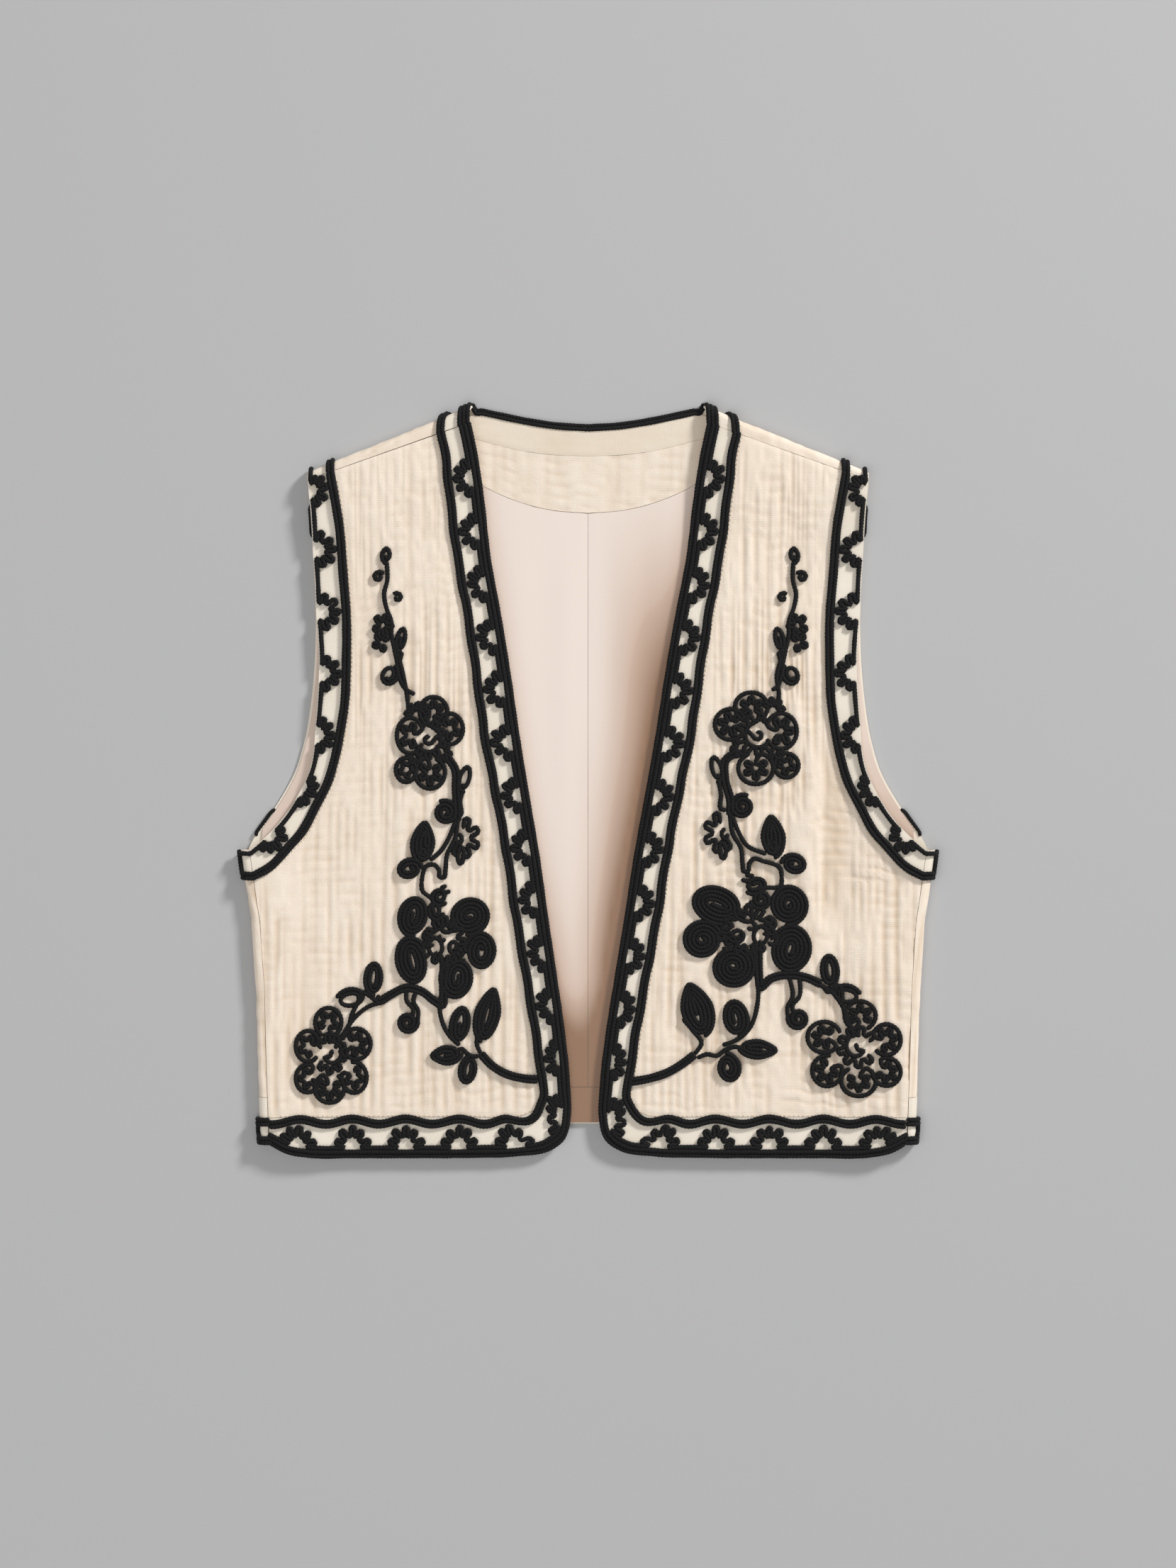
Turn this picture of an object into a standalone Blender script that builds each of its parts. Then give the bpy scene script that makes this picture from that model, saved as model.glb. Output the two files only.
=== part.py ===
"""Cropped waistcoat, laid flat on its back.

A sleeveless waistcoat that ends at the waist, with open fronts and no fastening. The fronts and
the back are crinkled double gauze. Smooth bands go round the front edges, hems, neck and
armholes, and black twisted cord is sewn down on them and on the fronts. The inside of the back
is lined with satin.

Frame, in millimetres in this file and metres in the mesh: X across the body, Y from hem to neck,
Z up from the surface that the garment lies on. The wearer's right is at negative X.
Most tables give one half of the garment, as distances from its centre line.
"""
import math

import bmesh
import bpy
from mathutils import Vector
from mathutils.bvhtree import BVHTree

MM = 0.001

# Cloth and cord
WALL = 1.5              # crinkled gauze with its backing
LINING_WALL = 1.0       # satin and facings
SEAM_GAP = 0.3
CORD = 3.1              # one twisted cord
RAIL = 5.9              # two cords side by side
EDGE_CORDS = 5.0        # what shows of the two cords that round the edge
RELIEF = 2.4            # how far sewn cord stands up
FOLD_RADIUS = 4.5       # the cloth's outer radius where it turns over at side and shoulder
TOP = 2 * FOLD_RADIUS   # height of the fronts at the folds
REST = 5.4              # height of the fronts where they lie on the back
SEAM_IN = 6.5           # the side seam lies this far in from the side fold

# Height of the side seam at the hem and at the underarm
ARM_FOOT = -66.5
ARM_TIP = -46.4

# Half width of the body at the side fold: y, half width
SIDE_FOLD = [(-260, 217.5), (-236, 220.0), (-198, 221.5), (-141, 223.0), (-94, 226.0),
             (-75, 229.0), (-46, 233.0), (0, 236.0)]

# Shoulder fold: a straight line that falls from the neck to the tip
NECK_POINT = (80.0, 251.2)
SHOULDER_FALL = 0.406

# Front band, from the shoulder seam down the front edge and along the hem to the side seam:
# edge x, edge y, rail x, rail y. The rail is the seam between the band and the panel.
FRONT_BAND = [
    (79.5, 239.9, 101.5, 232.1), (75.6, 222.0, 98.9, 218.0), (70.8, 191.0, 95.8, 191.0),
    (66.0, 150.0, 90.4, 150.0), (58.6, 110.0, 83.3, 110.0), (51.9, 70.0, 77.3, 70.0),
    (45.9, 30.0, 71.8, 30.0), (39.1, -10.0, 63.8, -10.0), (32.1, -50.0, 56.3, -50.0),
    (26.2, -90.0, 50.2, -90.0), (20.0, -130.0, 43.1, -130.0), (14.0, -170.0, 36.3, -170.0),
    (10.4, -205.0, 31.5, -203.0), (9.9, -224.0, 30.4, -212.5), (13.5, -239.5, 34.0, -220.2),
    (23.5, -247.3, 42.0, -224.2), (44.0, -250.8, 54.0, -225.2), (78.0, -252.0, 78.0, -225.2),
    (115.0, -252.2, 115.0, -225.2), (155.0, -252.2, 155.0, -225.2),
    (188.0, -251.6, 186.0, -225.2), (202.0, -248.9, 200.0, -225.2),
    (212.7, -243.0, 214.0, -225.2)]
CORNER_ROW = 14         # the row of that table at the rail's own corner

# Front armhole band, from the side seam up to the shoulder seam: edge x, edge y, rail x, rail y
FRONT_ARMHOLE = [
    (226.5, -46.4, 223.6, -66.5), (219.5, -40.5, 211.5, -59.5), (211.5, -33.0, 199.3, -47.0),
    (203.0, -22.8, 188.5, -35.0), (195.0, -10.5, 180.0, -18.5), (188.0, 4.0, 171.2, 0.0),
    (184.3, 18.0, 165.8, 18.0), (182.4, 43.0, 161.5, 43.0), (180.3, 75.0, 158.9, 75.0),
    (182.2, 112.0, 159.4, 112.0), (184.2, 150.0, 162.0, 150.0), (186.0, 182.0, 165.8, 185.0),
    (187.8, 201.5, 169.8, 207.9)]

# Back armhole band on the flat part of the back: edge x, edge y, rail x, rail y
BACK_ARMHOLE = [
    (226.6, -42.4, 220.0, -62.0), (223.4, -36.4, 212.5, -54.5), (214.6, -24.0, 203.0, -40.0),
    (206.0, -11.0, 192.5, -24.0), (197.0, 5.5, 183.0, -6.0), (190.6, 26.0, 174.5, 18.0),
    (185.8, 55.0, 168.5, 52.0), (183.0, 95.0, 165.0, 95.0), (183.6, 135.0, 165.5, 135.0),
    (185.6, 172.0, 167.5, 175.0), (187.4, 199.0, 169.6, 205.0)]
ARM_CORNER_ROW = 2      # the row where the lower part of the back panel ends

# Back neck band on the flat part of the back, from the centre out: edge x, edge y, rail x, rail y
BACK_NECK = [
    (0.0, 237.6, 0.0, 217.0), (21.0, 238.9, 22.0, 218.2), (41.5, 242.0, 44.0, 221.5),
    (59.0, 245.6, 66.0, 227.5), (71.0, 248.2, 84.0, 234.0)]

# Inside of the back neck, from the centre out: strip top, strip seam and facing foot, x and y
INNER_NECK = [
    (0.0, 237.2, 0.0, 218.5, 0.0, 180.0), (21.0, 238.4, 24.0, 219.3, 24.0, 182.0),
    (41.0, 241.4, 46.0, 222.3, 46.0, 187.5), (58.0, 244.6, 66.0, 227.2, 66.0, 196.0),
    (70.0, 246.0, 83.0, 232.0, 84.0, 207.0), (78.0, 245.4, 94.0, 236.0, 106.0, 226.0)]

HEM_FACING = -205.2     # seam between the lining and the facing inside the back hem
BACK_HEM = -230.0       # back hem edge at the centre
BACK_HEM_DIP = 8.0      # how much lower it is at the sides
HEM_BAND = 27.0
HEM_AT_SEAM = -243.0    # height of the hem edge at the side seams

# Soft folds of the fronts: side, distance from centre, y from, y to, half width, height
FOLDS = [
    (1, 168, 40, -110, 13, -1.7), (1, 150, 60, -150, 14, 0.9), (1, 188, -20, -170, 12, 0.8),
    (1, 120, 160, -40, 18, 0.9), (1, 92, -60, -200, 14, -0.6), (-1, 120, 60, -170, 20, 0.9),
    (-1, 150, 180, 20, 16, -0.7), (-1, 190, -80, -210, 14, -0.9), (-1, 95, 190, 60, 16, 0.8),
    (1, 140, 200, 100, 14, -0.7)]

# Soft folds of the satin: distance from centre with its sign, half width, height
SATIN_FOLDS = [(-48, 20, 0.6), (-15, 12, 0.4), (26, 14, 0.6), (62, 22, 0.5), (-90, 20, 0.5),
               (110, 24, 0.5)]

# Cord work on the bands
PITCH_FRONT = 36.2      # from arch to arch on the front band
PITCH_ARM = 42.0        # from arch to arch on the armhole band
ARCH_HALF = 13.4        # half the width of an arch over its teeth
ARCH_IN = 6.3           # half the width of the cloth that shows inside it
TOOTH = 6.2             # length of a looped tooth
ARCH_STEPS = 5
ARM_MARGIN = 1.4        # cloth outside the cord on the armhole bands
HEM_WAVE = 1.5          # how far the rail swells above each arch of the hem

# Sewn sprays, as cord laid out and back along a line: x from the centre, y and width in each row.
# A wide row is a bud, berry, leaf or coil on the line. Where the two fronts differ, the first
# table is the wearer's right.
TOP_SPRIG = [(134.7, 161, 5), (134.7, 152, 10.5), (137, 144.5, 4), (140.2, 137, 8.5),
             (134, 130, 3.5), (128.5, 123, 7.5), (133, 113, 4), (137.5, 101, 13),
             (134, 87, 4.5), (132.8, 74, 13), (127, 66, 4)]
MIDDLE_STEM = ([(101, -9, 4), (97, -15, 7), (95.7, -21, 16), (90, -30, 5), (82, -37, 12),
                (80, -44, 12), (85, -53, 4), (92, -56, 4)],
               [(106, -3, 4), (103, -9, 7), (101.9, -15, 15), (95, -25, 5), (88, -31, 12),
                (86, -38, 12), (90, -46, 4), (96, -49, 4)])
MIDDLE_LEAF = ([(114, -24, 4), (112, -32, 11), (110, -41, 15), (109, -50, 5)],
               [(125, -18, 4), (124, -27, 11), (123, -36, 15), (122, -46, 5)])
MAIN_STEM = ([(102.5, -152, 5.5), (99.5, -159, 5.5), (94.5, -167, 6), (84, -178, 6),
              (70, -189, 6), (53, -196.5, 6.5), (37.5, -199.5, 6.5)],
             [(118, -149, 5.5), (112, -158, 5.5), (103, -168, 6), (90, -181, 6),
              (74, -191.5, 6), (55, -197.5, 6.5), (37.5, -199.5, 6.5)])
LOWER_LEAVES = ([(109, -183, 5), (101, -185, 14), (92, -190, 5), (83.5, -197, 11),
                 (80, -206, 9), (78.5, -211, 4)],
                [(118, -181, 5), (110, -184, 13), (103, -190, 5), (94.5, -198, 11),
                 (91, -207, 9), (89.5, -212, 4)])
SIDE_BRANCH = ([(106.7, -152, 4), (113, -146, 4), (122, -143, 4), (134, -147.5, 4),
                (143, -153, 4)],
               [(124, -151.5, 4), (131, -147.5, 4), (142, -144.5, 4), (152, -146, 4),
                (159, -149, 4)])
SIDE_BUDS = ([(144, -119, 5), (143, -130, 14), (147, -140, 5), (157, -144, 11),
              (167, -143, 8), (172, -142, 4)],
             [(160, -112, 5), (160, -124, 14), (163, -135, 5), (172, -141, 10),
              (182, -141, 8), (187, -140, 4)])
# Sewn flowers and single leaves: sides, x from the centre, y, half width, half height, petals,
# depth between the petals, rows of points from the middle out, and the lean in degrees
BLOOMS = {
    "sprig_bud": ("both", 122.5, 94, 5, 9.5, 0, 0, 1, -15),
    "middle_bud": ("both", 82, 3, 5.2, 10, 0, 0, 1, 15),
    "upper_flower": ("right", 107.5, 26, 23, 28, 7, 0.10, 2, 0),
    "upper_flower ": ("left", 112.5, 35, 29, 30, 7, 0.10, 2, 0),
    "large_flower": ("right", 95.5, -106.5, 32, 37, 6, 0.12, 2, 15),
    "large_flower ": ("left", 105.5, -100, 42, 38, 6, 0.12, 2, 15),
    "upper_leaf": ("right", 83.5, -160, 7, 11, 0, 0, 1, 10),
    "upper_leaf ": ("left", 89, -163, 7, 11, 0, 0, 1, 10),
    "tall_leaf": ("both", 66.5, -158, 8, 16.5, 0, 0, 1, -8),
    "curl": ("right", 121, -162, 7.5, 7.5, 0, 0, 1, 0),
    "curl ": ("left", 139, -160, 7.5, 7.5, 0, 0, 1, 0),
    "side_flower": ("right", 171.5, -182, 27, 27, 6, 0.12, 2, 0),
    "side_flower ": ("left", 178.5, -182, 22, 27, 6, 0.12, 2, 0),
}

CREAM = (0.86, 0.75, 0.63)
CREAM_SMOOTH = (0.85, 0.77, 0.65)
SATIN = (0.88, 0.77, 0.69)
BLACK = (0.012, 0.012, 0.013)


# ------------------------------------------------------------------ curves and surfaces
def table(rows, at):
    """Straight interpolation of a two-column table."""
    for (x0, v0), (x1, v1) in zip(rows, rows[1:]):
        if at <= x1:
            return v0 + (v1 - v0) * (at - x0) / (x1 - x0)
    return rows[-1][1]


def ease(t):
    t = min(1.0, max(0.0, t))
    return t * t * (3 - 2 * t)


def gap_between(a, b):
    return math.sqrt(sum((p - q) ** 2 for p, q in zip(a, b)))


def smooth(rows, step):
    """Rows on a smooth curve through the given rows, no further apart than step."""
    def slope(i):
        if i == 0 or i == len(rows) - 1:
            a, b = (rows[0], rows[1]) if i == 0 else (rows[-2], rows[-1])
            return [(q - p) / gap_between(a, b) for p, q in zip(a, b)]
        a, b, c = rows[i - 1:i + 2]
        d0, d1 = gap_between(a, b), gap_between(b, c)
        return [((q - p) / d0 * d1 + (r - q) / d1 * d0) / (d0 + d1) for p, q, r in zip(a, b, c)]

    out = [tuple(rows[0])]
    for i in range(len(rows) - 1):
        a, b, length = rows[i], rows[i + 1], gap_between(rows[i], rows[i + 1])
        ma, mb = slope(i), slope(i + 1)
        count = max(1, math.ceil(gap_between(a[:2], b[:2]) / step - 0.05))
        for k in range(1, count + 1):
            t = k / count
            h0, h1 = 2 * t**3 - 3 * t**2 + 1, t**3 - 2 * t**2 + t
            h2, h3 = 3 * t**2 - 2 * t**3, t**3 - t**2
            out.append(tuple(h0 * p + h1 * length * m + h2 * q + h3 * length * n
                             for p, q, m, n in zip(a, b, ma, mb)))
    return out


def fold_half(y):
    return table(SIDE_FOLD, y)


def fold_line(x):
    return NECK_POINT[1] - SHOULDER_FALL * (abs(x) - NECK_POINT[0])


def seam_drop(x):
    """How far below the shoulder fold its seam lies on the front."""
    return 10.5 - 0.05 * (abs(x) - 97)


def back_hem(x):
    return BACK_HEM - BACK_HEM_DIP * (min(abs(x), 232) / 220) ** 2


def lean(x, y):
    """The fronts lie a little to one side of the centre line."""
    return x + (0.0075 * y - 0.6) * max(0.0, 1 - abs(x) / 200)


def rolled(x, y):
    """A point of the back's outer face, given on the cloth rolled out flat."""
    side, r = (1 if x > 0 else -1), FOLD_RADIUS
    if y < -20:
        beyond = abs(x) - (fold_half(y) - r)
        if beyond > 0:
            turn = min(math.pi, beyond / r)
            run = max(0.0, beyond - math.pi * r)
            return (side * (fold_half(y) - r + r * math.sin(turn) - run), y, r * (1 - math.cos(turn)))
    else:
        beyond = y - (fold_line(x) - r)
        if beyond > 0:
            turn = min(math.pi, beyond / r)
            run = max(0.0, beyond - math.pi * r)
            return (x, fold_line(x) - r + r * math.sin(turn) - run, r * (1 - math.cos(turn)))
    return (x, y, 0.0)


def front_height(x, y):
    """Height of the outer face of a front."""
    side, half = (1 if x > 0 else -1), abs(x)
    by_side = ease(1 - (fold_half(y) - SEAM_IN - half) / 62) * ease(1 - (y + 52) / 85)
    by_shoulder = ease(1 - (fold_line(x) - seam_drop(x) - y) / 75)
    z = REST + (TOP - REST) * (1 - (1 - by_side) * (1 - by_shoulder))
    middle = ease((half - 60) / 50) * ease((205 - half) / 60) * ease((y + 225) / 60)
    z += 1.1 * middle * ease((230 - y) / 60)
    for fold_side, at, y_from, y_to, width, height in FOLDS:
        if fold_side == side and abs(half - at) < width and y_to < y < y_from:
            across = 0.5 + 0.5 * math.cos(math.pi * (half - at) / width)
            z += height * across * math.sin(math.pi * (y - y_to) / (y_from - y_to))
    return max(z, REST)


def satin_height(x, y):
    z = WALL + SEAM_GAP
    for at, width, height in SATIN_FOLDS:
        if abs(x - at) < width:
            fade = ease((y + 205) / 60) * ease((185 - y) / 60)
            z += height * fade * (0.5 + 0.5 * math.cos(math.pi * (x - at) / width))
    return z


def patch(bottom, top, left, right):
    """Rows of points that fill four bounding rows."""
    def shares(points):
        total, out = 0.0, [0.0]
        for a, b in zip(points, points[1:]):
            total += gap_between(a, b)
            out.append(total)
        return [v / total for v in out]

    us, vs, rows = shares(bottom), shares(left), []
    for j, v in enumerate(vs):
        row = []
        for i, u in enumerate(us):
            row.append(tuple(
                (1 - v) * bottom[i][k] + v * top[i][k] + (1 - u) * left[j][k] + u * right[j][k]
                - (1 - u) * (1 - v) * bottom[0][k] - u * (1 - v) * bottom[-1][k]
                - (1 - u) * v * top[0][k] - u * v * top[-1][k] for k in (0, 1)))
        rows.append(row)
    return rows


def between(a, b, steps):
    return [tuple(p + (q - p) * k / steps for p, q in zip(a, b)) for k in range(steps + 1)]


def mirrored(rows):
    return [[(-x, y) for x, y in row] for row in rows]


# ------------------------------------------------------------------ objects
def material(name, colour, roughness):
    made = bpy.data.materials.get(name)
    if made is None:
        made = bpy.data.materials.new(name)
        made.use_nodes = True
        shader = made.node_tree.nodes["Principled BSDF"]
        shader.inputs["Base Color"].default_value = (*colour, 1)
        shader.inputs["Roughness"].default_value = roughness
        shader.inputs["Metallic"].default_value = 0.0
    return made


def cloth(name, blocks, wall, surface, offset, finish):
    """A sheet with a wall. Each block is rows of x and y, and surface gives the point in space."""
    bm = bmesh.new()
    for rows in blocks:
        nj, ni = len(rows) - 1, len(rows[0]) - 1
        made = bmesh.ops.create_grid(bm, x_segments=ni, y_segments=nj, size=0.5)
        for vert in made["verts"]:
            i, j = round((vert.co.x + 0.5) * ni), round((vert.co.y + 0.5) * nj)
            vert.co = Vector(surface(*rows[j][i])) * MM
    bmesh.ops.remove_doubles(bm, verts=bm.verts, dist=0.00002)
    bm.normal_update()
    for face in list(bm.faces):
        if face.calc_area() < 1e-12:
            bm.faces.remove(face)
    bmesh.ops.triangulate(bm, faces=bm.faces)
    bmesh.ops.recalc_face_normals(bm, faces=bm.faces)
    if sum(face.normal.z * face.calc_area() for face in bm.faces) < 0:
        bmesh.ops.reverse_faces(bm, faces=bm.faces)
    mesh = bpy.data.meshes.new(name)
    bm.to_mesh(mesh)
    bm.free()
    piece = bpy.data.objects.new(name, mesh)
    WAISTCOAT.objects.link(piece)
    solidify = piece.modifiers.new("Wall", "SOLIDIFY")
    solidify.thickness = wall * MM
    solidify.offset = offset
    mesh.materials.append(material(*finish))
    return piece


def seat(pieces):
    """Height of the top of the pieces under a point."""
    bpy.context.view_layer.update()
    graph = bpy.context.evaluated_depsgraph_get()
    trees = [BVHTree.FromObject(piece, graph) for piece in pieces]

    def height(x, y):
        best = 0.0
        for dx, dy in ((0, 0), (1.2, 0), (-1.2, 0), (0, 1.2), (0, -1.2)):
            for tree in trees:
                hit = tree.ray_cast(Vector(((x + dx) * MM, (y + dy) * MM, 0.1)), Vector((0, 0, -1)))
                if hit[0] is not None:
                    best = max(best, hit[0].z / MM)
        return best
    return height


def ribbon(name, path, height_at, lift=SEAM_GAP + 0.1, relief=RELIEF):
    """Sewn cord as a low bar. The path has rows of x, y and width."""
    left, right = [], []
    for k, (x, y, width) in enumerate(path):
        (xa, ya), (xb, yb) = path[max(0, k - 1)][:2], path[min(len(path) - 1, k + 1)][:2]
        run = max(1e-6, math.hypot(xb - xa, yb - ya))
        nx, ny = -(yb - ya) / run * width / 2, (xb - xa) / run * width / 2
        left.append((x + nx, y + ny))
        right.append((x - nx, y - ny))
    return strip(name, left, right, height_at, lift, relief)


def strip(name, left, right, height_at, lift=SEAM_GAP + 0.1, relief=RELIEF):
    surface = lambda x, y: (x, y, height_at(x, y) + lift)
    return cloth(name, [[left, right]], relief, surface, 1, ("Cord", BLACK, 0.85))


# ------------------------------------------------------------------ the back
def shoulder_rows(x):
    """Heights on the rolled-out back where it goes over the shoulder fold at x."""
    r = FOLD_RADIUS
    start = fold_line(x) - r
    rows = [start + math.pi * r * k / 5 for k in range(6)]
    return rows + [start + math.pi * r + seam_drop(x) - r - SEAM_GAP]


def side_steps():
    """Distances in from the side seam, on the rolled-out back, round the side fold."""
    r = FOLD_RADIUS
    return [0.0] + [SEAM_IN - r + math.pi * r * k / 5 for k in range(6)]


def side_seam(y):
    """The side seam on the rolled-out back."""
    r = FOLD_RADIUS
    return fold_half(y) - r + math.pi * r + SEAM_IN - r - SEAM_GAP


def back_arm_rungs():
    """Rungs of the back armhole band: edge and rail points, from side seam to shoulder seam."""
    rungs = []
    for step in side_steps():
        edge_x, rail_x = side_seam(ARM_TIP) - step, side_seam(ARM_FOOT) - step
        rungs.append((edge_x, ARM_TIP + 0.03 * step, rail_x, ARM_FOOT + 0.04 * step))
    rungs += smooth(BACK_ARMHOLE, 22)
    edge_x, rail_x = BACK_ARMHOLE[-1][0] + 0.6, BACK_ARMHOLE[-1][2] + 0.2
    for edge_y, rail_y in zip(shoulder_rows(edge_x), shoulder_rows(rail_x)):
        rungs.append((edge_x, edge_y, rail_x, rail_y))
    return rungs


def back_neck_rungs():
    """Rungs of the back neck band for one half, from the centre to the shoulder seam."""
    rungs = smooth(BACK_NECK, 22)
    xs = [(75.5, 93.5), (77.4, 97.0), (78.3, 99.2), (78.9, 100.4), (79.2, 101.0), (79.4, 101.3),
          (79.5, 101.5)]
    for k, (edge_x, rail_x) in enumerate(xs):
        rungs.append((edge_x, shoulder_rows(edge_x)[k], rail_x, shoulder_rows(rail_x)[k]))
    return rungs


def inset(rungs, amount):
    """The rail points, moved towards the edge."""
    out = []
    for ex, ey, rx, ry in rungs:
        share = amount / math.hypot(ex - rx, ey - ry)
        out.append((rx + (ex - rx) * share, ry + (ey - ry) * share))
    return out


def back():
    arm, neck = back_arm_rungs(), back_neck_rungs()
    rail = [(r[2], r[3]) for r in arm]
    steps = len(side_steps())
    corner = min(range(len(rail)), key=lambda k: gap_between(rail[k], BACK_ARMHOLE[ARM_CORNER_ROW][2:]))
    shoulder = len(arm) - 7
    neck_rail = [(r[2], r[3]) for r in neck]
    neck_turn = len(neck) - 7

    # Lower part: hem rail up to the underarm, with both side folds
    def hem_rail(x):
        return back_hem(x) + HEM_BAND
    low_y = hem_rail(side_seam(-210) - 3)
    side_xs = [side_seam(low_y) - step for step in side_steps()]
    inner = corner - steps + 1
    flat_xs = [side_xs[-1] + (rail[corner][0] - 3 - side_xs[-1]) * k / inner for k in range(1, inner + 1)]
    side_xs = side_xs + flat_xs
    across_top = [(-x, y) for x, y in rail[:corner + 1]]
    cols = 4 + 2 * neck_turn + 4
    middle = between((-rail[corner][0], rail[corner][1]), rail[corner], cols)
    across_top += middle[1:] + rail[:corner][::-1]
    low_mid = between((-side_xs[-1], 0), (side_xs[-1], 0), cols)
    xs = [-x for x in side_xs] + [p[0] for p in low_mid[1:]] + side_xs[:-1][::-1]
    bottom = [(x, hem_rail(x)) for x in xs]
    heights = [low_y + (ARM_FOOT - low_y) * k / 6 for k in range(7)]
    seam = [(side_seam(y), y) for y in heights]
    seam[0], seam[-1] = bottom[-1], rail[0]
    lower = patch(bottom, across_top, [(-x, y) for x, y in seam], seam)

    # Middle part: between the armhole rails, up to the neck rail
    right_side = rail[corner:shoulder + 1]
    left_side = [(-x, y) for x, y in right_side]
    over = between(rail[shoulder], neck_rail[neck_turn], 4)
    inner_neck = neck_rail[:neck_turn + 1][::-1]
    half_top = over + inner_neck[1:]
    top = [(-x, y) for x, y in half_top] + half_top[:-1][::-1]
    centre = patch(middle, top, left_side, right_side)

    # Shoulder parts, over the folds
    arm_up, neck_up = rail[shoulder:], neck_rail[neck_turn:]
    shoulders = [between(a, b, 4) for a, b in zip(arm_up, neck_up)]
    shoulders[-1] = [(x, shoulder_rows(x)[-1]) for x, y in shoulders[-1]]
    finish = ("Crinkled gauze", CREAM, 0.9)
    cloth("back_panel", [lower, centre, shoulders, mirrored(shoulders)], WALL, rolled, 1, finish)

    band = ("Smooth band", CREAM_SMOOTH, 0.9)
    half_low = []
    for k, x in enumerate(side_xs):
        if k < steps:
            y = HEM_AT_SEAM + (back_hem(x) - HEM_AT_SEAM) * ease(side_steps()[k] / 14)
            half_low.append((side_seam(y) - side_steps()[k], y))
        else:
            half_low.append((x, back_hem(x)))
    low = [(-x, y) for x, y in half_low] + [(x, back_hem(x)) for x, _ in low_mid[1:-1]] + half_low[::-1]
    high = [(x, y - SEAM_GAP) for x, y in bottom]
    mid = [((a[0] + b[0]) / 2, (a[1] + b[1]) / 2) for a, b in zip(low, high)]
    cloth("back_hem_band", [[low, mid, high]], WALL, rolled, 1, band)
    edge, near = [(r[0], r[1]) for r in arm], inset(arm, SEAM_GAP)
    mid = [((a[0] + b[0]) / 2, (a[1] + b[1]) / 2) for a, b in zip(edge, near)]
    for side, word in ((-1, "right"), (1, "left")):
        rows = [[(side * x, y) for x, y in row] for row in (edge, mid, near)]
        cloth("back_armhole_band_" + word, [rows], WALL, rolled, 1, band)
    edge, near = [(r[0], r[1]) for r in neck], inset(neck, 3 * SEAM_GAP)
    rows = [[(-x, y) for x, y in row[::-1]] + row[1:] for row in (edge, near)]
    cloth("back_neck_band", [rows], WALL, rolled, 1, band)

    # Cord that shows past the edges of the back
    floor = lambda x, y: 0.0
    cord = [(x, y + CORD / 2 + SEAM_GAP + 0.1, CORD) for x, y in rows[0] if y < 249 and abs(x) < 76]
    ribbon("back_neck_cord", cord, floor, lift=0.0, relief=CORD)
    for side, word in ((-1, "right"), (1, "left")):
        path = []
        for x, y, rx, ry in smooth(BACK_ARMHOLE[1:7], 22):
            run = math.hypot(x - rx, y - ry)
            out = 1.6
            path.append((side * (x + (x - rx) / run * out), y + (y - ry) / run * out, 2.2))
        ribbon("back_armhole_cord_" + word, path, floor, lift=0.0, relief=2.4)


def inside():
    """Lining and facings that show through the open fronts and the armholes."""
    flat = lambda x, y: (x, y, WALL + SEAM_GAP)
    waved = lambda x, y: (x, y, satin_height(x, y))
    rungs = smooth(INNER_NECK, 40)
    half = lambda a, b, dy: [[(r[a], r[a + 1] + dy) for r in rungs], [(r[b], r[b + 1]) for r in rungs]]

    def whole(rows):
        return [[(-x, y) for x, y in row[::-1]] + row[1:] for row in rows]
    cloth("inner_neck_strip", [whole(half(0, 2, 0.0))], LINING_WALL, flat, 1,
          ("Smooth band", CREAM_SMOOTH, 0.9))
    cloth("neck_facing", [whole(half(2, 4, -SEAM_GAP))], LINING_WALL, flat, 1,
          ("Crinkled gauze", CREAM, 0.9))

    xs = [200 * k / 8 for k in range(-8, 9)]
    rows = [[(x * 1.045, back_hem(x * 1.045) + 1.0) for x in xs],
            [(x * 1.045, HEM_FACING - SEAM_GAP) for x in xs]]
    cloth("hem_facing", [rows], LINING_WALL, flat, 1, ("Satin", SATIN, 0.45))

    arm = smooth(BACK_ARMHOLE, 40)
    side = [(fold_half(y) - 21, y) for y in (HEM_FACING, -160, -110, -78)]
    edge = []
    for ex, ey, rx, ry in arm:
        share = 4.0 / math.hypot(ex - rx, ey - ry)
        edge.append((ex + (rx - ex) * share, ey + (ry - ey) * share))
    edge = [p for p in edge if p[0] < 214 and p[1] < 188]
    outer = side + [(211.5, -54)] + edge + [(182.5, fold_line(182.5) - 18)]
    foot = [(r[4], r[5] - SEAM_GAP) for r in rungs]
    top = foot[:-1] + [(104, foot[-1][1] - 3)] + [(x, fold_line(x) - 18) for x in (128, 156, 182.5)]
    count = len(top) - 1
    for word, sign in (("right", -1), ("left", 1)):
        inner_x = SEAM_GAP / 2
        y0, y1 = HEM_FACING, top[0][1]
        share = [(p[1] - outer[0][1]) / (outer[-1][1] - outer[0][1]) for p in outer]
        seam = [(inner_x, y0 + (y1 - y0) * s) for s in share]
        bottom = [(inner_x + (outer[0][0] - inner_x) * k / count, y0) for k in range(count + 1)]
        high = [(max(inner_x, x), y) for x, y in top]
        rows = patch(bottom, high, seam, outer)
        rows = [[(sign * x, y) for x, y in row] for row in rows]
        cloth("lining_" + word, [rows], LINING_WALL, waved, 1, ("Satin", SATIN, 0.45))


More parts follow.
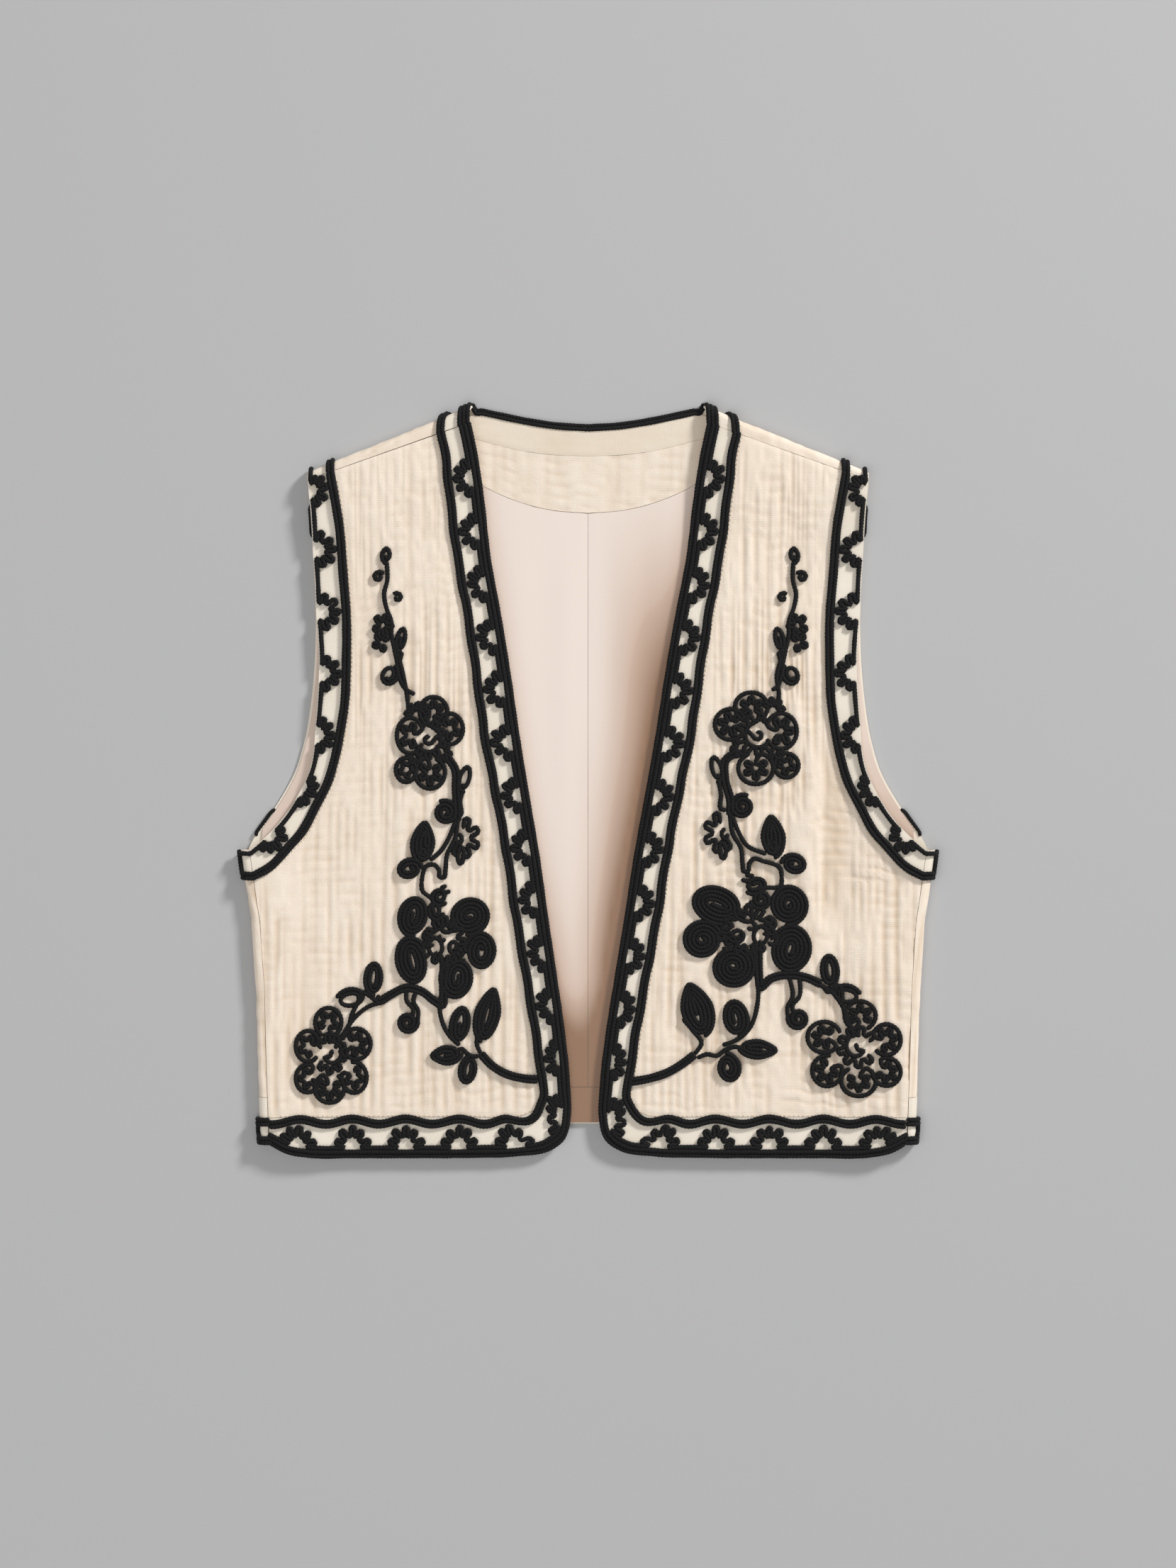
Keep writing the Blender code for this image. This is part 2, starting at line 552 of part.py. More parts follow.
# ------------------------------------------------------------------ the fronts
def front(side, word):
    surface = lambda x, y: (lean(side * x, y), y, front_height(side * x, y))
    band, arm = smooth(FRONT_BAND, 21), smooth(FRONT_ARMHOLE, 19)
    corner = min(range(len(band)), key=lambda k: gap_between(band[k], FRONT_BAND[CORNER_ROW]))
    front_rail = [(r[2], r[3]) for r in band[:corner + 1]][::-1]
    hem_rail = [(r[2], r[3]) for r in band[corner:]]
    arm_rail = [(r[2], r[3]) for r in arm]

    # The panel, from hem rail to shoulder seam and from side seam to front rail. Its side has as
    # many rows as the front rail, so that each row runs across level.
    seam_rows = [(fold_half(y) - SEAM_IN, y) for _, y in front_rail if y < ARM_FOOT - 4]
    seam_rows[0] = hem_rail[-1]
    spare = len(front_rail) - len(seam_rows)
    outer = seam_rows + resample(arm_rail, spare)
    top = between(outer[-1], front_rail[-1], len(hem_rail) - 1)
    top = [(x, fold_line(x) - seam_drop(x)) for x, _ in top]
    rows = patch(hem_rail[::-1], top, outer, front_rail)
    panel = cloth("front_panel_" + word, [rows], WALL, surface, -1, ("Crinkled gauze", CREAM, 0.9))

    smooth_band = ("Smooth band", CREAM_SMOOTH, 0.9)
    edge, near = [(r[0], r[1]) for r in band], inset(band, SEAM_GAP)
    mid = [((a[0] + b[0]) / 2, (a[1] + b[1]) / 2) for a, b in zip(edge, near)]
    made_band = cloth("front_band_" + word, [[edge, mid, near]], WALL, surface, -1, smooth_band)

    arm_outer = outer[len(seam_rows):]
    arm_edge = matched([(r[0], r[1]) for r in arm], arm_rail, arm_outer)
    rungs = [(*e, *r) for e, r in zip(arm_edge, arm_outer)]
    near = inset(rungs, SEAM_GAP)
    mid = [((a[0] + b[0]) / 2, (a[1] + b[1]) / 2) for a, b in zip(arm_edge, near)]
    made_arm = cloth("armhole_band_" + word, [[arm_edge, mid, near]], WALL, surface, -1, smooth_band)
    return panel, made_band, made_arm


def lengths(points):
    out = [0.0]
    for a, b in zip(points, points[1:]):
        out.append(out[-1] + gap_between(a, b))
    return out


def at_length(points, at):
    run = lengths(points)
    for k in range(1, len(points)):
        if at <= run[k] or k == len(points) - 1:
            share = (at - run[k - 1]) / (run[k] - run[k - 1])
            return tuple(p + (q - p) * share for p, q in zip(points[k - 1], points[k]))
    return points[-1]


def resample(points, count):
    total = lengths(points)[-1]
    return [at_length(points, total * k / (count - 1)) for k in range(count)]


def matched(edge, rail, stations):
    """Edge points that lie opposite stations on the rail."""
    run, out = lengths(rail), []
    marks = lengths(stations)
    scale = run[-1] / marks[-1]
    for mark in marks:
        at = mark * scale
        for k in range(1, len(rail)):
            if at <= run[k] + 1e-6 or k == len(rail) - 1:
                share = (at - run[k - 1]) / (run[k] - run[k - 1])
                out.append(tuple(p + (q - p) * share for p, q in zip(edge[k - 1], edge[k])))
                break
    return out


# ------------------------------------------------------------------ cord on the bands
def frame_of(rungs):
    """Places on a band, by the run along its middle and the distance in from its edge."""
    middle = [((ex + rx) / 2, (ey + ry) / 2) for ex, ey, rx, ry in rungs]
    run = lengths(middle)

    def rung(s):
        s = min(run[-1], max(0.0, s))
        for k in range(1, len(run)):
            if s <= run[k] or k == len(run) - 1:
                share = (s - run[k - 1]) / (run[k] - run[k - 1])
                return [p + (q - p) * share for p, q in zip(rungs[k - 1], rungs[k])]

    def width(s):
        ex, ey, rx, ry = rung(s)
        return math.hypot(ex - rx, ey - ry)

    def place(s, h):
        ex, ey, rx, ry = rung(s)
        share = h / math.hypot(ex - rx, ey - ry)
        return (ex + (rx - ex) * share, ey + (ry - ey) * share)
    return place, width, run


def arches(place, width, centres, base, ends):
    """Two sides of one cord that runs beside an edge and loops into arches."""
    low, high = [place(ends[0], base)], [place(ends[0], base + CORD)]
    for s0 in centres:
        tall = width(s0) - RAIL - base - 0.5
        low.append(place(s0 - ARCH_HALF - 1.8, base))
        high.append(place(s0 - ARCH_HALF - 1.8, base + CORD))
        for step in range(ARCH_STEPS + 1):
            turn = math.pi * (1 - step / ARCH_STEPS)
            cos, sin = math.cos(turn), math.sin(turn)
            low.append(place(s0 + ARCH_IN * cos, base + (tall - TOOTH) * sin))
            out = s0 + ARCH_HALF * cos
            most = width(out) - RAIL - 0.5 - 1.2 * cos * cos
            high.append(place(out, min(most, base + 0.28 * tall + 0.72 * tall * sin)))
        low.append(place(s0 + ARCH_HALF + 1.8, base))
        high.append(place(s0 + ARCH_HALF + 1.8, base + CORD))
    low.append(place(ends[1], base))
    high.append(place(ends[1], base + CORD))
    return low, high


def centres_of(total, pitch, first, last):
    count = int(round((total - first - last) / pitch)) + 1
    step = (total - first - last) / (count - 1)
    return [first + step * k for k in range(count)], step


def rail_sides(place, width, stations, wave, centres, spacing):
    """Two sides of the rail over the seam. It swells towards the panel above each arch."""
    low, high = [], []
    for s in stations:
        near = min(centres, key=lambda c: abs(c - s))
        swell = wave(s) * math.cos(2 * math.pi * (s - near) / spacing)
        low.append(place(s, width(s) - RAIL + swell))
        high.append(place(s, width(s) + 0.4 + swell))
    return low, high


def band_cords(side, word, height_at):
    def frame(table_rows, step):
        rows = [(lean(side * ex, ey), ey, lean(side * rx, ry), ry)
                for ex, ey, rx, ry in smooth(table_rows, step)]
        return frame_of(rows)

    place, width, run = frame(FRONT_BAND, 10)
    total = run[-1]
    centres, spacing = centres_of(total, PITCH_FRONT, 34.0, 20.0)
    # Straight stretches need few rungs, the corners and the hem more
    few = [s for k, s in enumerate(run) if k % 2 == 0 or s > total - 245 or k == len(run) - 1]
    low, high = [place(s, 0.2) for s in few], [place(s, EDGE_CORDS) for s in few]
    strip("edge_cord_" + word, low, high, height_at)
    hem_part = lambda s: HEM_WAVE if s > total - 190 else 0.0
    strip("inner_rail_" + word, *rail_sides(place, width, few, hem_part, centres, spacing), height_at)
    strip("arch_cord_" + word, *arches(place, width, centres, EDGE_CORDS + 0.4, (3, total - 2)),
          height_at)

    place, width, run = frame(FRONT_ARMHOLE, 14)
    total = run[-1]
    centres, spacing = centres_of(total, PITCH_ARM, 22.0, 27.0)
    flat = lambda s: 0.0
    strip("armhole_rail_" + word, *rail_sides(place, width, run, flat, centres, spacing), height_at)
    strip("armhole_arch_cord_" + word, *arches(place, width, centres, ARM_MARGIN, (1, total - 1)),
          height_at)


# ------------------------------------------------------------------ flowers on the fronts
def bloom(name, side, x, y, half_w, half_h, petals, depth, rings, tilt, height_at):
    """A flower with lobed petals, or a plain leaf, filled with cord."""
    count = 4 * petals if petals else 9
    tilt = math.radians(tilt)
    rows = []
    for j in range(rings + 1):
        row = []
        for k in range(count + 1):
            turn = 2 * math.pi * (k % count) / count
            reach = j / rings * (1 + depth * math.cos(petals * turn) if petals else 1)
            px, py = half_w * reach * math.cos(turn), half_h * reach * math.sin(turn)
            qx = px * math.cos(tilt) - py * math.sin(tilt)
            qy = px * math.sin(tilt) + py * math.cos(tilt)
            row.append((side * (x + qx), y + qy))
        rows.append(row)
    lift = SEAM_GAP + (0.25 if rings > 1 else 0.1)
    surface = lambda px, py: (px, py, height_at(px, py) + lift)
    cloth(name, [rows], RELIEF, surface, 1, ("Cord", BLACK, 0.85))


def flowers(side, word, height_at):
    pick = 0 if side < 0 else 1
    sprays = {"top_sprig": TOP_SPRIG, "middle_stem": MIDDLE_STEM[pick],
              "middle_leaf": MIDDLE_LEAF[pick], "main_stem": MAIN_STEM[pick],
              "lower_leaves": LOWER_LEAVES[pick], "side_branch": SIDE_BRANCH[pick],
              "side_buds": SIDE_BUDS[pick]}
    for name, rows in sprays.items():
        path = [(side * px, py, width) for px, py, width in smooth(rows, 6.5)]
        ribbon(name + "_" + word, path, height_at)
    for name, (sides, *values) in BLOOMS.items():
        if sides in ("both", word):
            bloom(name.strip() + "_" + word, side, *values, height_at)


# ------------------------------------------------------------------ the model
for old in list(bpy.data.objects):
    bpy.data.objects.remove(old, do_unlink=True)
WAISTCOAT = bpy.data.collections.new("Cropped waistcoat")
bpy.context.scene.collection.children.link(WAISTCOAT)

back()
inside()
for side, word in ((-1, "right"), (1, "left")):
    fronts = front(side, word)
    height_at = seat(fronts)
    band_cords(side, word, height_at)
    flowers(side, word, height_at)
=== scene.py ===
# %% [markdown]
# # A cropped waistcoat, laid flat
# The real garment is cream double gauze, a soft cloth of two thin layers that crinkle when they
# are washed. Smooth bands go round the fronts, hems and armholes. Black twisted cord is sewn down
# on the bands and drawn into flower sprays on the fronts. The inside of the back is lined with
# satin. This lesson loads the plain solids as a frame and dresses each one: cloth as thin shells
# with a real surface, and cord as real twisted cord. Sizes are in millimetres in the tables and
# become metres in the meshes.

# %% The frame
import math

import bpy
import numpy as np
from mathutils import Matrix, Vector


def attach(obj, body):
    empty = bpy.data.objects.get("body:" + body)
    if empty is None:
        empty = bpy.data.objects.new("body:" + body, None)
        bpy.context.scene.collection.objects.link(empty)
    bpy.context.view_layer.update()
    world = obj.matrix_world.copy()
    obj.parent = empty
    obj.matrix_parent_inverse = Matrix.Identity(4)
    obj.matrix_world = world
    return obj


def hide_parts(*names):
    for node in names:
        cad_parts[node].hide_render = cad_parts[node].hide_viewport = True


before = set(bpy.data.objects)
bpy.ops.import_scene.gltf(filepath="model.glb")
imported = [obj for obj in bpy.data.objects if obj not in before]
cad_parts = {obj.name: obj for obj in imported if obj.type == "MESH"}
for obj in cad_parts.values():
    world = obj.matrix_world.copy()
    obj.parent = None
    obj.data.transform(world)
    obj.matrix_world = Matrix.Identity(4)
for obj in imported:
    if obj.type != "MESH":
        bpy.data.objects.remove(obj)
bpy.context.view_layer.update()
MM = 0.001

# %% [markdown]
# ## The camera
# The photograph looks straight down on the garment from about two metres, so the camera does the
# same. Its lens is chosen so that the picture's long side covers 1.051 m of the surface.

# %% Camera
EYE_HEIGHT = 2.0
EYE_Y = -0.0019
CLOTH_HEIGHT = 0.006    # where FIELD_LONG is measured
FIELD_LONG = 1.051
SENSOR = 36.0

camera_data = bpy.data.cameras.new("Camera")
camera_data.sensor_width = SENSOR
camera_data.lens = SENSOR * (EYE_HEIGHT - CLOTH_HEIGHT) / FIELD_LONG
camera = bpy.data.objects.new("Camera", camera_data)
camera.location = (0.0, EYE_Y, EYE_HEIGHT)
bpy.context.scene.collection.objects.link(camera)
bpy.context.scene.camera = camera
print("lens in mm:", round(camera_data.lens, 1))

# %% [markdown]
# ## The floor and the light
# The backdrop is a plain grey sheet. A large soft light comes from above, and a smaller one from
# the upper right gives the soft shadow to the left of the garment and below it. The plain
# "Standard" view keeps the cloth's colours as they are given.

# %% Floor and light
FLOOR_GREY = (0.485, 0.485, 0.488)
FLOOR_SIZE = 6.0
FLOOR_DROP = 0.0004     # below the cloth, so that their faces don't meet
WORLD_LIGHT = 0.34

bpy.ops.object.select_all(action="DESELECT")
bpy.ops.mesh.primitive_grid_add(x_subdivisions=4, y_subdivisions=4, size=FLOOR_SIZE,
                                location=(0, 0, -FLOOR_DROP))
floor = bpy.context.object
floor.name = "Floor"
bpy.ops.object.transform_apply(location=True)
floor_paint = bpy.data.materials.new("Backdrop")
floor_paint.use_nodes = True
floor_shader = floor_paint.node_tree.nodes["Principled BSDF"]
floor_shader.inputs["Base Color"].default_value = (*FLOOR_GREY, 1)
floor_shader.inputs["Roughness"].default_value = 1.0
floor_shader.inputs["Specular IOR Level"].default_value = 0.0
floor.data.materials.append(floor_paint)


def soft_light(name, place, size, power):
    """A square soft light that points at the middle of the garment."""
    lamp = bpy.data.lights.new(name, "AREA")
    lamp.size, lamp.energy = size, power
    made = bpy.data.objects.new(name, lamp)
    made.location = place
    made.rotation_euler = (-Vector(place)).to_track_quat("-Z", "Y").to_euler()
    bpy.context.scene.collection.objects.link(made)


soft_light("Key light", (3.2, 3.1, 2.4), 0.85, 216.0)
soft_light("Top light", (-0.75, -0.75, 2.6), 2.6, 29.0)
world = bpy.data.worlds.new("Studio")
world.use_nodes = True
world.node_tree.nodes["Background"].inputs["Color"].default_value = (1, 1, 1, 1)
world.node_tree.nodes["Background"].inputs["Strength"].default_value = WORLD_LIGHT
bpy.context.scene.world = world
bpy.context.scene.view_settings.view_transform = "Standard"

# %% [markdown]
# ## The garment's sizes
# These tables give the cut as it lies: where the side fold is, where each band has its edge and
# its seam, and where the fronts have soft folds. The solids were made from the same numbers, so
# the cloth made here lies on them.

# %% Sizes
WALL = 1.5              # thickness of the gauze and the bands
LINING_WALL = 1.0       # of the lining, the neck strip and the facings
SEAM_GAP = 0.3          # between two pieces at a seam
CORD_RADIUS = 1.5
RAIL = 5.9              # strip beside a band's seam that its two seam cords take
FOLD_RADIUS = 4.5       # outer radius of the side and shoulder folds
TOP = 2 * FOLD_RADIUS
REST = 5.4              # height of a front's outer face where it is lowest
SEAM_IN = 6.5           # from the side fold in to the side seam
ARM_FOOT = -66.5        # y of the armhole band's seam at the underarm
ARM_TIP = -46.4         # y of its edge there
NECK_POINT = (80.0, 251.2)
SHOULDER_FALL = 0.406   # of the shoulder fold for each mm outwards
HEM_FACING = -205.2     # y of the hem facing's upper edge
BACK_HEM = -230.0       # y of the back hem in the middle
BACK_HEM_DIP = 8.0
HEM_BAND = 27.0
HEM_AT_SEAM = -243.0    # y of the hem at the side seams
CORNER_ROW = 14         # row of FRONT_BAND where the front edge turns into the hem
ARM_CORNER_ROW = 2      # row of BACK_ARMHOLE where the lower block of the back ends

# Side fold: y, half width
SIDE_FOLD = [(-260, 217.5), (-236, 220.0), (-198, 221.5), (-141, 223.0), (-94, 226.0),
             (-75, 229.0), (-46, 233.0), (0, 236.0)]
# Bands: edge x, edge y, rail x, rail y
FRONT_BAND = [
    (79.5, 239.9, 101.5, 232.1), (75.6, 222.0, 98.9, 218.0), (70.8, 191.0, 95.8, 191.0),
    (66.0, 150.0, 90.4, 150.0), (58.6, 110.0, 83.3, 110.0), (51.9, 70.0, 77.3, 70.0),
    (45.9, 30.0, 71.8, 30.0), (39.1, -10.0, 63.8, -10.0), (32.1, -50.0, 56.3, -50.0),
    (26.2, -90.0, 50.2, -90.0), (20.0, -130.0, 43.1, -130.0), (14.0, -170.0, 36.3, -170.0),
    (10.4, -205.0, 31.5, -203.0), (9.9, -224.0, 30.4, -212.5), (13.5, -239.5, 34.0, -220.2),
    (23.5, -247.3, 42.0, -224.2), (44.0, -250.8, 54.0, -225.2), (78.0, -252.0, 78.0, -225.2),
    (115.0, -252.2, 115.0, -225.2), (155.0, -252.2, 155.0, -225.2),
    (188.0, -251.6, 186.0, -225.2), (202.0, -248.9, 200.0, -225.2),
    (212.7, -243.0, 214.0, -225.2)]
FRONT_ARMHOLE = [
    (226.5, -46.4, 223.6, -66.5), (219.5, -40.5, 211.5, -59.5), (211.5, -33.0, 199.3, -47.0),
    (203.0, -22.8, 188.5, -35.0), (195.0, -10.5, 180.0, -18.5), (188.0, 4.0, 171.2, 0.0),
    (184.3, 18.0, 165.8, 18.0), (182.4, 43.0, 161.5, 43.0), (180.3, 75.0, 158.9, 75.0),
    (182.2, 112.0, 159.4, 112.0), (184.2, 150.0, 162.0, 150.0), (186.0, 182.0, 165.8, 185.0),
    (187.8, 201.5, 169.8, 207.9)]
BACK_ARMHOLE = [
    (226.6, -42.4, 220.0, -62.0), (223.4, -36.4, 212.5, -54.5), (214.6, -24.0, 203.0, -40.0),
    (206.0, -11.0, 192.5, -24.0), (197.0, 5.5, 183.0, -6.0), (190.6, 26.0, 174.5, 18.0),
    (185.8, 55.0, 168.5, 52.0), (183.0, 95.0, 165.0, 95.0), (183.6, 135.0, 165.5, 135.0),
    (185.6, 172.0, 167.5, 175.0), (187.4, 199.0, 169.6, 205.0)]
BACK_NECK = [
    (0.0, 237.6, 0.0, 217.0), (21.0, 238.9, 22.0, 218.2), (41.5, 242.0, 44.0, 221.5),
    (59.0, 245.6, 66.0, 227.5), (71.0, 248.2, 84.0, 234.0)]
# Inside of the back neck: strip top, strip seam and facing foot, x and y
INNER_NECK = [
    (0.0, 237.2, 0.0, 218.5, 0.0, 180.0), (21.0, 238.4, 24.0, 219.3, 24.0, 182.0),
    (41.0, 241.4, 46.0, 222.3, 46.0, 187.5), (58.0, 244.6, 66.0, 227.2, 66.0, 196.0),
    (70.0, 246.0, 83.0, 232.0, 84.0, 207.0), (78.0, 245.4, 94.0, 236.0, 106.0, 226.0)]
# Soft folds of the fronts: side, distance from centre, y from, y to, half width, height
FOLDS = [
    (1, 166, 50, -110, 15, -3.4), (1, 150, 60, -150, 14, 0.9), (1, 188, -20, -170, 12, 0.8),
    (1, 120, 160, -40, 18, 0.9), (1, 92, -60, -200, 14, -0.6), (-1, 120, 60, -170, 20, 0.9),
    (-1, 150, 180, 20, 16, -0.7), (-1, 190, -80, -210, 14, -0.9), (-1, 95, 190, 60, 16, 0.8),
    (1, 140, 200, 100, 14, -0.7)]
RIDGE_PITCH, ROW_PITCH = 8.0, 7.6       # of the gauze's ridges, and of the breaks across them
SATIN_FOLDS = [(-48, 20, 0.6), (-15, 12, 0.4), (26, 14, 0.6), (62, 22, 0.5), (-90, 20, 0.5),
               (110, 24, 0.5)]
SIDES = ((-1, "right"), (1, "left"))
print("table rows:", len(FRONT_BAND) + len(FRONT_ARMHOLE) + len(BACK_ARMHOLE) + len(BACK_NECK))

# %% [markdown]
# ## Curves through the tables
# A seam is a smooth line, but a table gives only a few points of it. This helper puts a smooth
# curve through the rows, with new rows as close together as the cloth needs.

# %% Smooth rows
def gap_between(a, b):
    return math.sqrt(sum((p - q) ** 2 for p, q in zip(a, b)))


def smooth(rows, step):
    """Rows on a smooth curve through the given rows, no further apart than step."""
    def slope(i):
        if i == 0 or i == len(rows) - 1:
            a, b = (rows[0], rows[1]) if i == 0 else (rows[-2], rows[-1])
            return [(q - p) / gap_between(a, b) for p, q in zip(a, b)]
        a, b, c = rows[i - 1:i + 2]
        d0, d1 = gap_between(a, b), gap_between(b, c)
        return [((q - p) / d0 * d1 + (r - q) / d1 * d0) / (d0 + d1) for p, q, r in zip(a, b, c)]

    out = [tuple(rows[0])]
    for i in range(len(rows) - 1):
        a, b, length = rows[i], rows[i + 1], gap_between(rows[i], rows[i + 1])
        ma, mb = slope(i), slope(i + 1)
        count = max(1, math.ceil(gap_between(a[:2], b[:2]) / step - 0.05))
        for k in range(1, count + 1):
            t = k / count
            h0, h1 = 2 * t**3 - 3 * t**2 + 1, t**3 - 2 * t**2 + t
            h2, h3 = 3 * t**2 - 2 * t**3, t**3 - t**2
            out.append(tuple(h0 * p + h1 * length * m + h2 * q + h3 * length * n
                             for p, q, m, n in zip(a, b, ma, mb)))
    return out


def lengths(points):
    steps = np.linalg.norm(np.diff(np.asarray(points, float)[:, :2], axis=0), axis=1)
    return np.concatenate([[0.0], np.cumsum(steps)])


def resample(points, count):
    points = np.asarray(points, float)
    run = lengths(points)
    at = np.linspace(0, run[-1], count)
    return np.stack([np.interp(at, run, points[:, k]) for k in range(points.shape[1])], 1)


def matched(edge, rail, stations):
    """Edge points that lie opposite stations on the rail."""
    run, marks, edge = lengths(rail), lengths(stations), np.asarray(edge, float)
    at = marks * run[-1] / marks[-1]
    return np.stack([np.interp(at, run, edge[:, k]) for k in (0, 1)], 1)


def coons(bottom, top, left, right):
    """Rows of points that fill four bounding rows."""
    bottom, top, left, right = (np.asarray(p, float)[:, :2] for p in (bottom, top, left, right))
    u = (lengths(bottom) / lengths(bottom)[-1])[None, :, None]
    v = (lengths(left) / lengths(left)[-1])[:, None, None]
    return ((1 - v) * bottom[None] + v * top[None] + (1 - u) * left[:, None] + u * right[:, None]
            - (1 - u) * (1 - v) * bottom[0] - u * (1 - v) * bottom[-1]
            - (1 - u) * v * top[0] - u * v * top[-1])


band_edge = [row[:2] for row in smooth(FRONT_BAND, 5)]
print("front band length in mm:", round(float(lengths(band_edge)[-1])))

# %% [markdown]
# ## Heights of the cloth
# The back lies flat and turns over at the sides and shoulders. The fronts rest on it, low at the
# front edges and higher towards the folds. The gauze has its own relief on top of that: upright
# ridges at two pitches, which fade out in patches and are calmer near the shoulders, short breaks
# across them, and small puffs. It is worked out from smooth random numbers with a fixed seed, so
# each run gives the same cloth.

# %% Heights and crinkle
NOISE_CELLS = 96        # the random numbers repeat after this many
NOISE_START = 300.0     # keeps every place on their grid above 0
SEAM_DROP, SEAM_SLOPE, SEAM_FROM = 10.5, 0.05, 97       # shoulder seam below its fold
HEM_HALF, HEM_LEVEL = 220, 232          # the hem dips as a parabola, and runs level past 232
LEAN_START, LEAN_SLOPE, LEAN_REACH = 0.6, 0.0075, 200
PUFF_HEIGHT, RIDGE_DEPTH, BREAK_DEPTH = 0.32, 0.95, 0.45
CALM_FROM = 130         # y from which the gauze is calm, up to the shoulders
SIDE_RISE, SHOULDER_RISE = 62, 75       # widths over which a front rises to its folds
RISE_TOP, RISE_FADE = -52, 85           # y up to which its side stands, and how it fades above
SWELL = 1.1             # how far the middle of a front stands up


def ease(t):
    t = np.clip(t, 0.0, 1.0)
    return t * t * (3 - 2 * t)


def fold_half(y):
    return np.interp(y, [r[0] for r in SIDE_FOLD], [r[1] for r in SIDE_FOLD])


def fold_line(x):
    return NECK_POINT[1] - SHOULDER_FALL * (abs(x) - NECK_POINT[0])


def seam_drop(x):
    return SEAM_DROP - SEAM_SLOPE * (abs(x) - SEAM_FROM)


def back_hem(x):
    return BACK_HEM - BACK_HEM_DIP * (np.minimum(abs(x), HEM_LEVEL) / HEM_HALF) ** 2


def lean(x, y):
    """The fronts lie a little to one side of the centre line."""
    return x + (LEAN_SLOPE * y - LEAN_START) * np.maximum(0.0, 1 - abs(x) / LEAN_REACH)


def uneven(x, y, wide, tall, seed):
    """Smooth random numbers from -1 to 1, that change over wide and tall millimetres."""
    grid = np.random.RandomState(seed).uniform(-1, 1, (NOISE_CELLS, NOISE_CELLS))
    u, v = np.asarray(x) / wide + NOISE_START, np.asarray(y) / tall + NOISE_START
    i, j = np.floor(u).astype(int), np.floor(v).astype(int)
    fu, fv = ease(u - i), ease(v - j)
    i0, i1, j0, j1 = (k % NOISE_CELLS for k in (i, i + 1, j, j + 1))
    return ((grid[j0, i0] * (1 - fu) + grid[j0, i1] * fu) * (1 - fv)
            + (grid[j1, i0] * (1 - fu) + grid[j1, i1] * fu) * fv)


def ridges(x, y, pitch, seed):
    """1 in the furrows between the upright ridges of the gauze, fading out in patches."""
    sway = 0.15 * pitch * uneven(x, y, 34, 90, seed + 50)
    sway = sway + 0.3 * pitch * uneven(x, 0 * y, 24, 60, seed + 51)
    amount = ease(0.45 + 0.9 * uneven(x, y, 1.4 * pitch, 36, seed + 52))
    return (0.5 + 0.5 * np.cos(2 * math.pi * (x + sway) / pitch)) ** 2 * amount


def crinkle(x, y, seed):
    """Relief of the gauze in mm, and the shade painted on each point by how deep it lies in a
    crease.
    """
    calm = 0.5 + 0.5 * ease((CALM_FROM - y) / 70)
    lines = calm * np.maximum(ridges(x, y, RIDGE_PITCH, seed),
                              0.7 * ridges(x, y, 0.7 * RIDGE_PITCH, seed + 7))
    rows = y + 2.6 * uneven(x, y, 9, 60, seed + 53) + 0.06 * x
    weak = ease(0.38 + 0.9 * uneven(x, y, 11.0, 13, seed + 54))
    breaks = (0.5 + 0.5 * np.cos(2 * math.pi * rows / ROW_PITCH)) ** 3 * weak
    puff = uneven(x, y, 3.6, 7.5, seed + 3)
    # Painted shade: the furrows, the breaks and the hollows between puffs are coloured darker.
    painted_shade = np.clip(0.72 * lines + 0.3 * breaks + 0.18 * np.maximum(0, -puff), 0, 1)
    relief = PUFF_HEIGHT * puff - RIDGE_DEPTH * lines - BREAK_DEPTH * breaks
    return relief, painted_shade


def fold_relief(x, y):
    """Height of the large folds of a front, and the shade painted on each point by how deep it lies
    in a trough.
    """
    z, trough_shade = 0.0 * x, 0.0 * x
    for side, at, y_from, y_to, width, height in FOLDS:
        inside = (np.sign(x) == side) & (abs(abs(x) - at) < width) & (y > y_to) & (y < y_from)
        across = 0.5 + 0.5 * np.cos(math.pi * (abs(x) - at) / width)
        shape = np.where(inside, across * np.sin(math.pi * (y - y_to) / (y_from - y_to)), 0)
        # The troughs of the folds also get painted shade.
        z, trough_shade = z + height * shape, trough_shade + max(0.0, -height) / 3.4 * shape
    return z, trough_shade


def front_height(x, y):
    """Height of the outer face of a front, without its crinkle."""
    half = abs(x)
    by_side = ease(1 - (fold_half(y) - SEAM_IN - half) / SIDE_RISE)
    by_side = by_side * ease(1 - (y - RISE_TOP) / RISE_FADE)
    by_shoulder = ease(1 - (fold_line(x) - seam_drop(x) - y) / SHOULDER_RISE)
    z = REST + (TOP - REST) * (1 - (1 - by_side) * (1 - by_shoulder))
    middle = ease((half - 60) / 50) * ease((205 - half) / 60) * ease((y + 225) / 60)
    z = z + SWELL * middle * ease((230 - y) / 60)
    return np.maximum(z + fold_relief(x, y)[0], REST)


def satin_height(x, y):
    z = np.full_like(np.asarray(x, float), WALL + SEAM_GAP)
    fade = ease((y + 205) / 60) * ease((185 - y) / 60)
    for at, width, height in SATIN_FOLDS:
        across = 0.5 + 0.5 * np.cos(math.pi * np.clip((x - at) / width, -1, 1))
        z = z + height * fade * across
    return z


def rolled(x, y, inset):
    """A point of the back given on the cloth rolled out flat, inset inward from its outer face."""
    r, side = FOLD_RADIUS, np.sign(x)
    low = y < -20
    start = np.where(low, fold_half(y) - r, fold_line(x) - r)
    beyond = np.where(low, abs(x) - start, y - start)
    turn = np.clip(beyond / r, 0, math.pi)
    run = np.maximum(0.0, beyond - math.pi * r)
    past = beyond > 0
    reach = start + (r - inset) * np.sin(turn) - run
    z = np.where(past, r - (r - inset) * np.cos(turn), inset)
    return (np.where(low & past, side * reach, x), np.where(~low & past, reach, y), z)


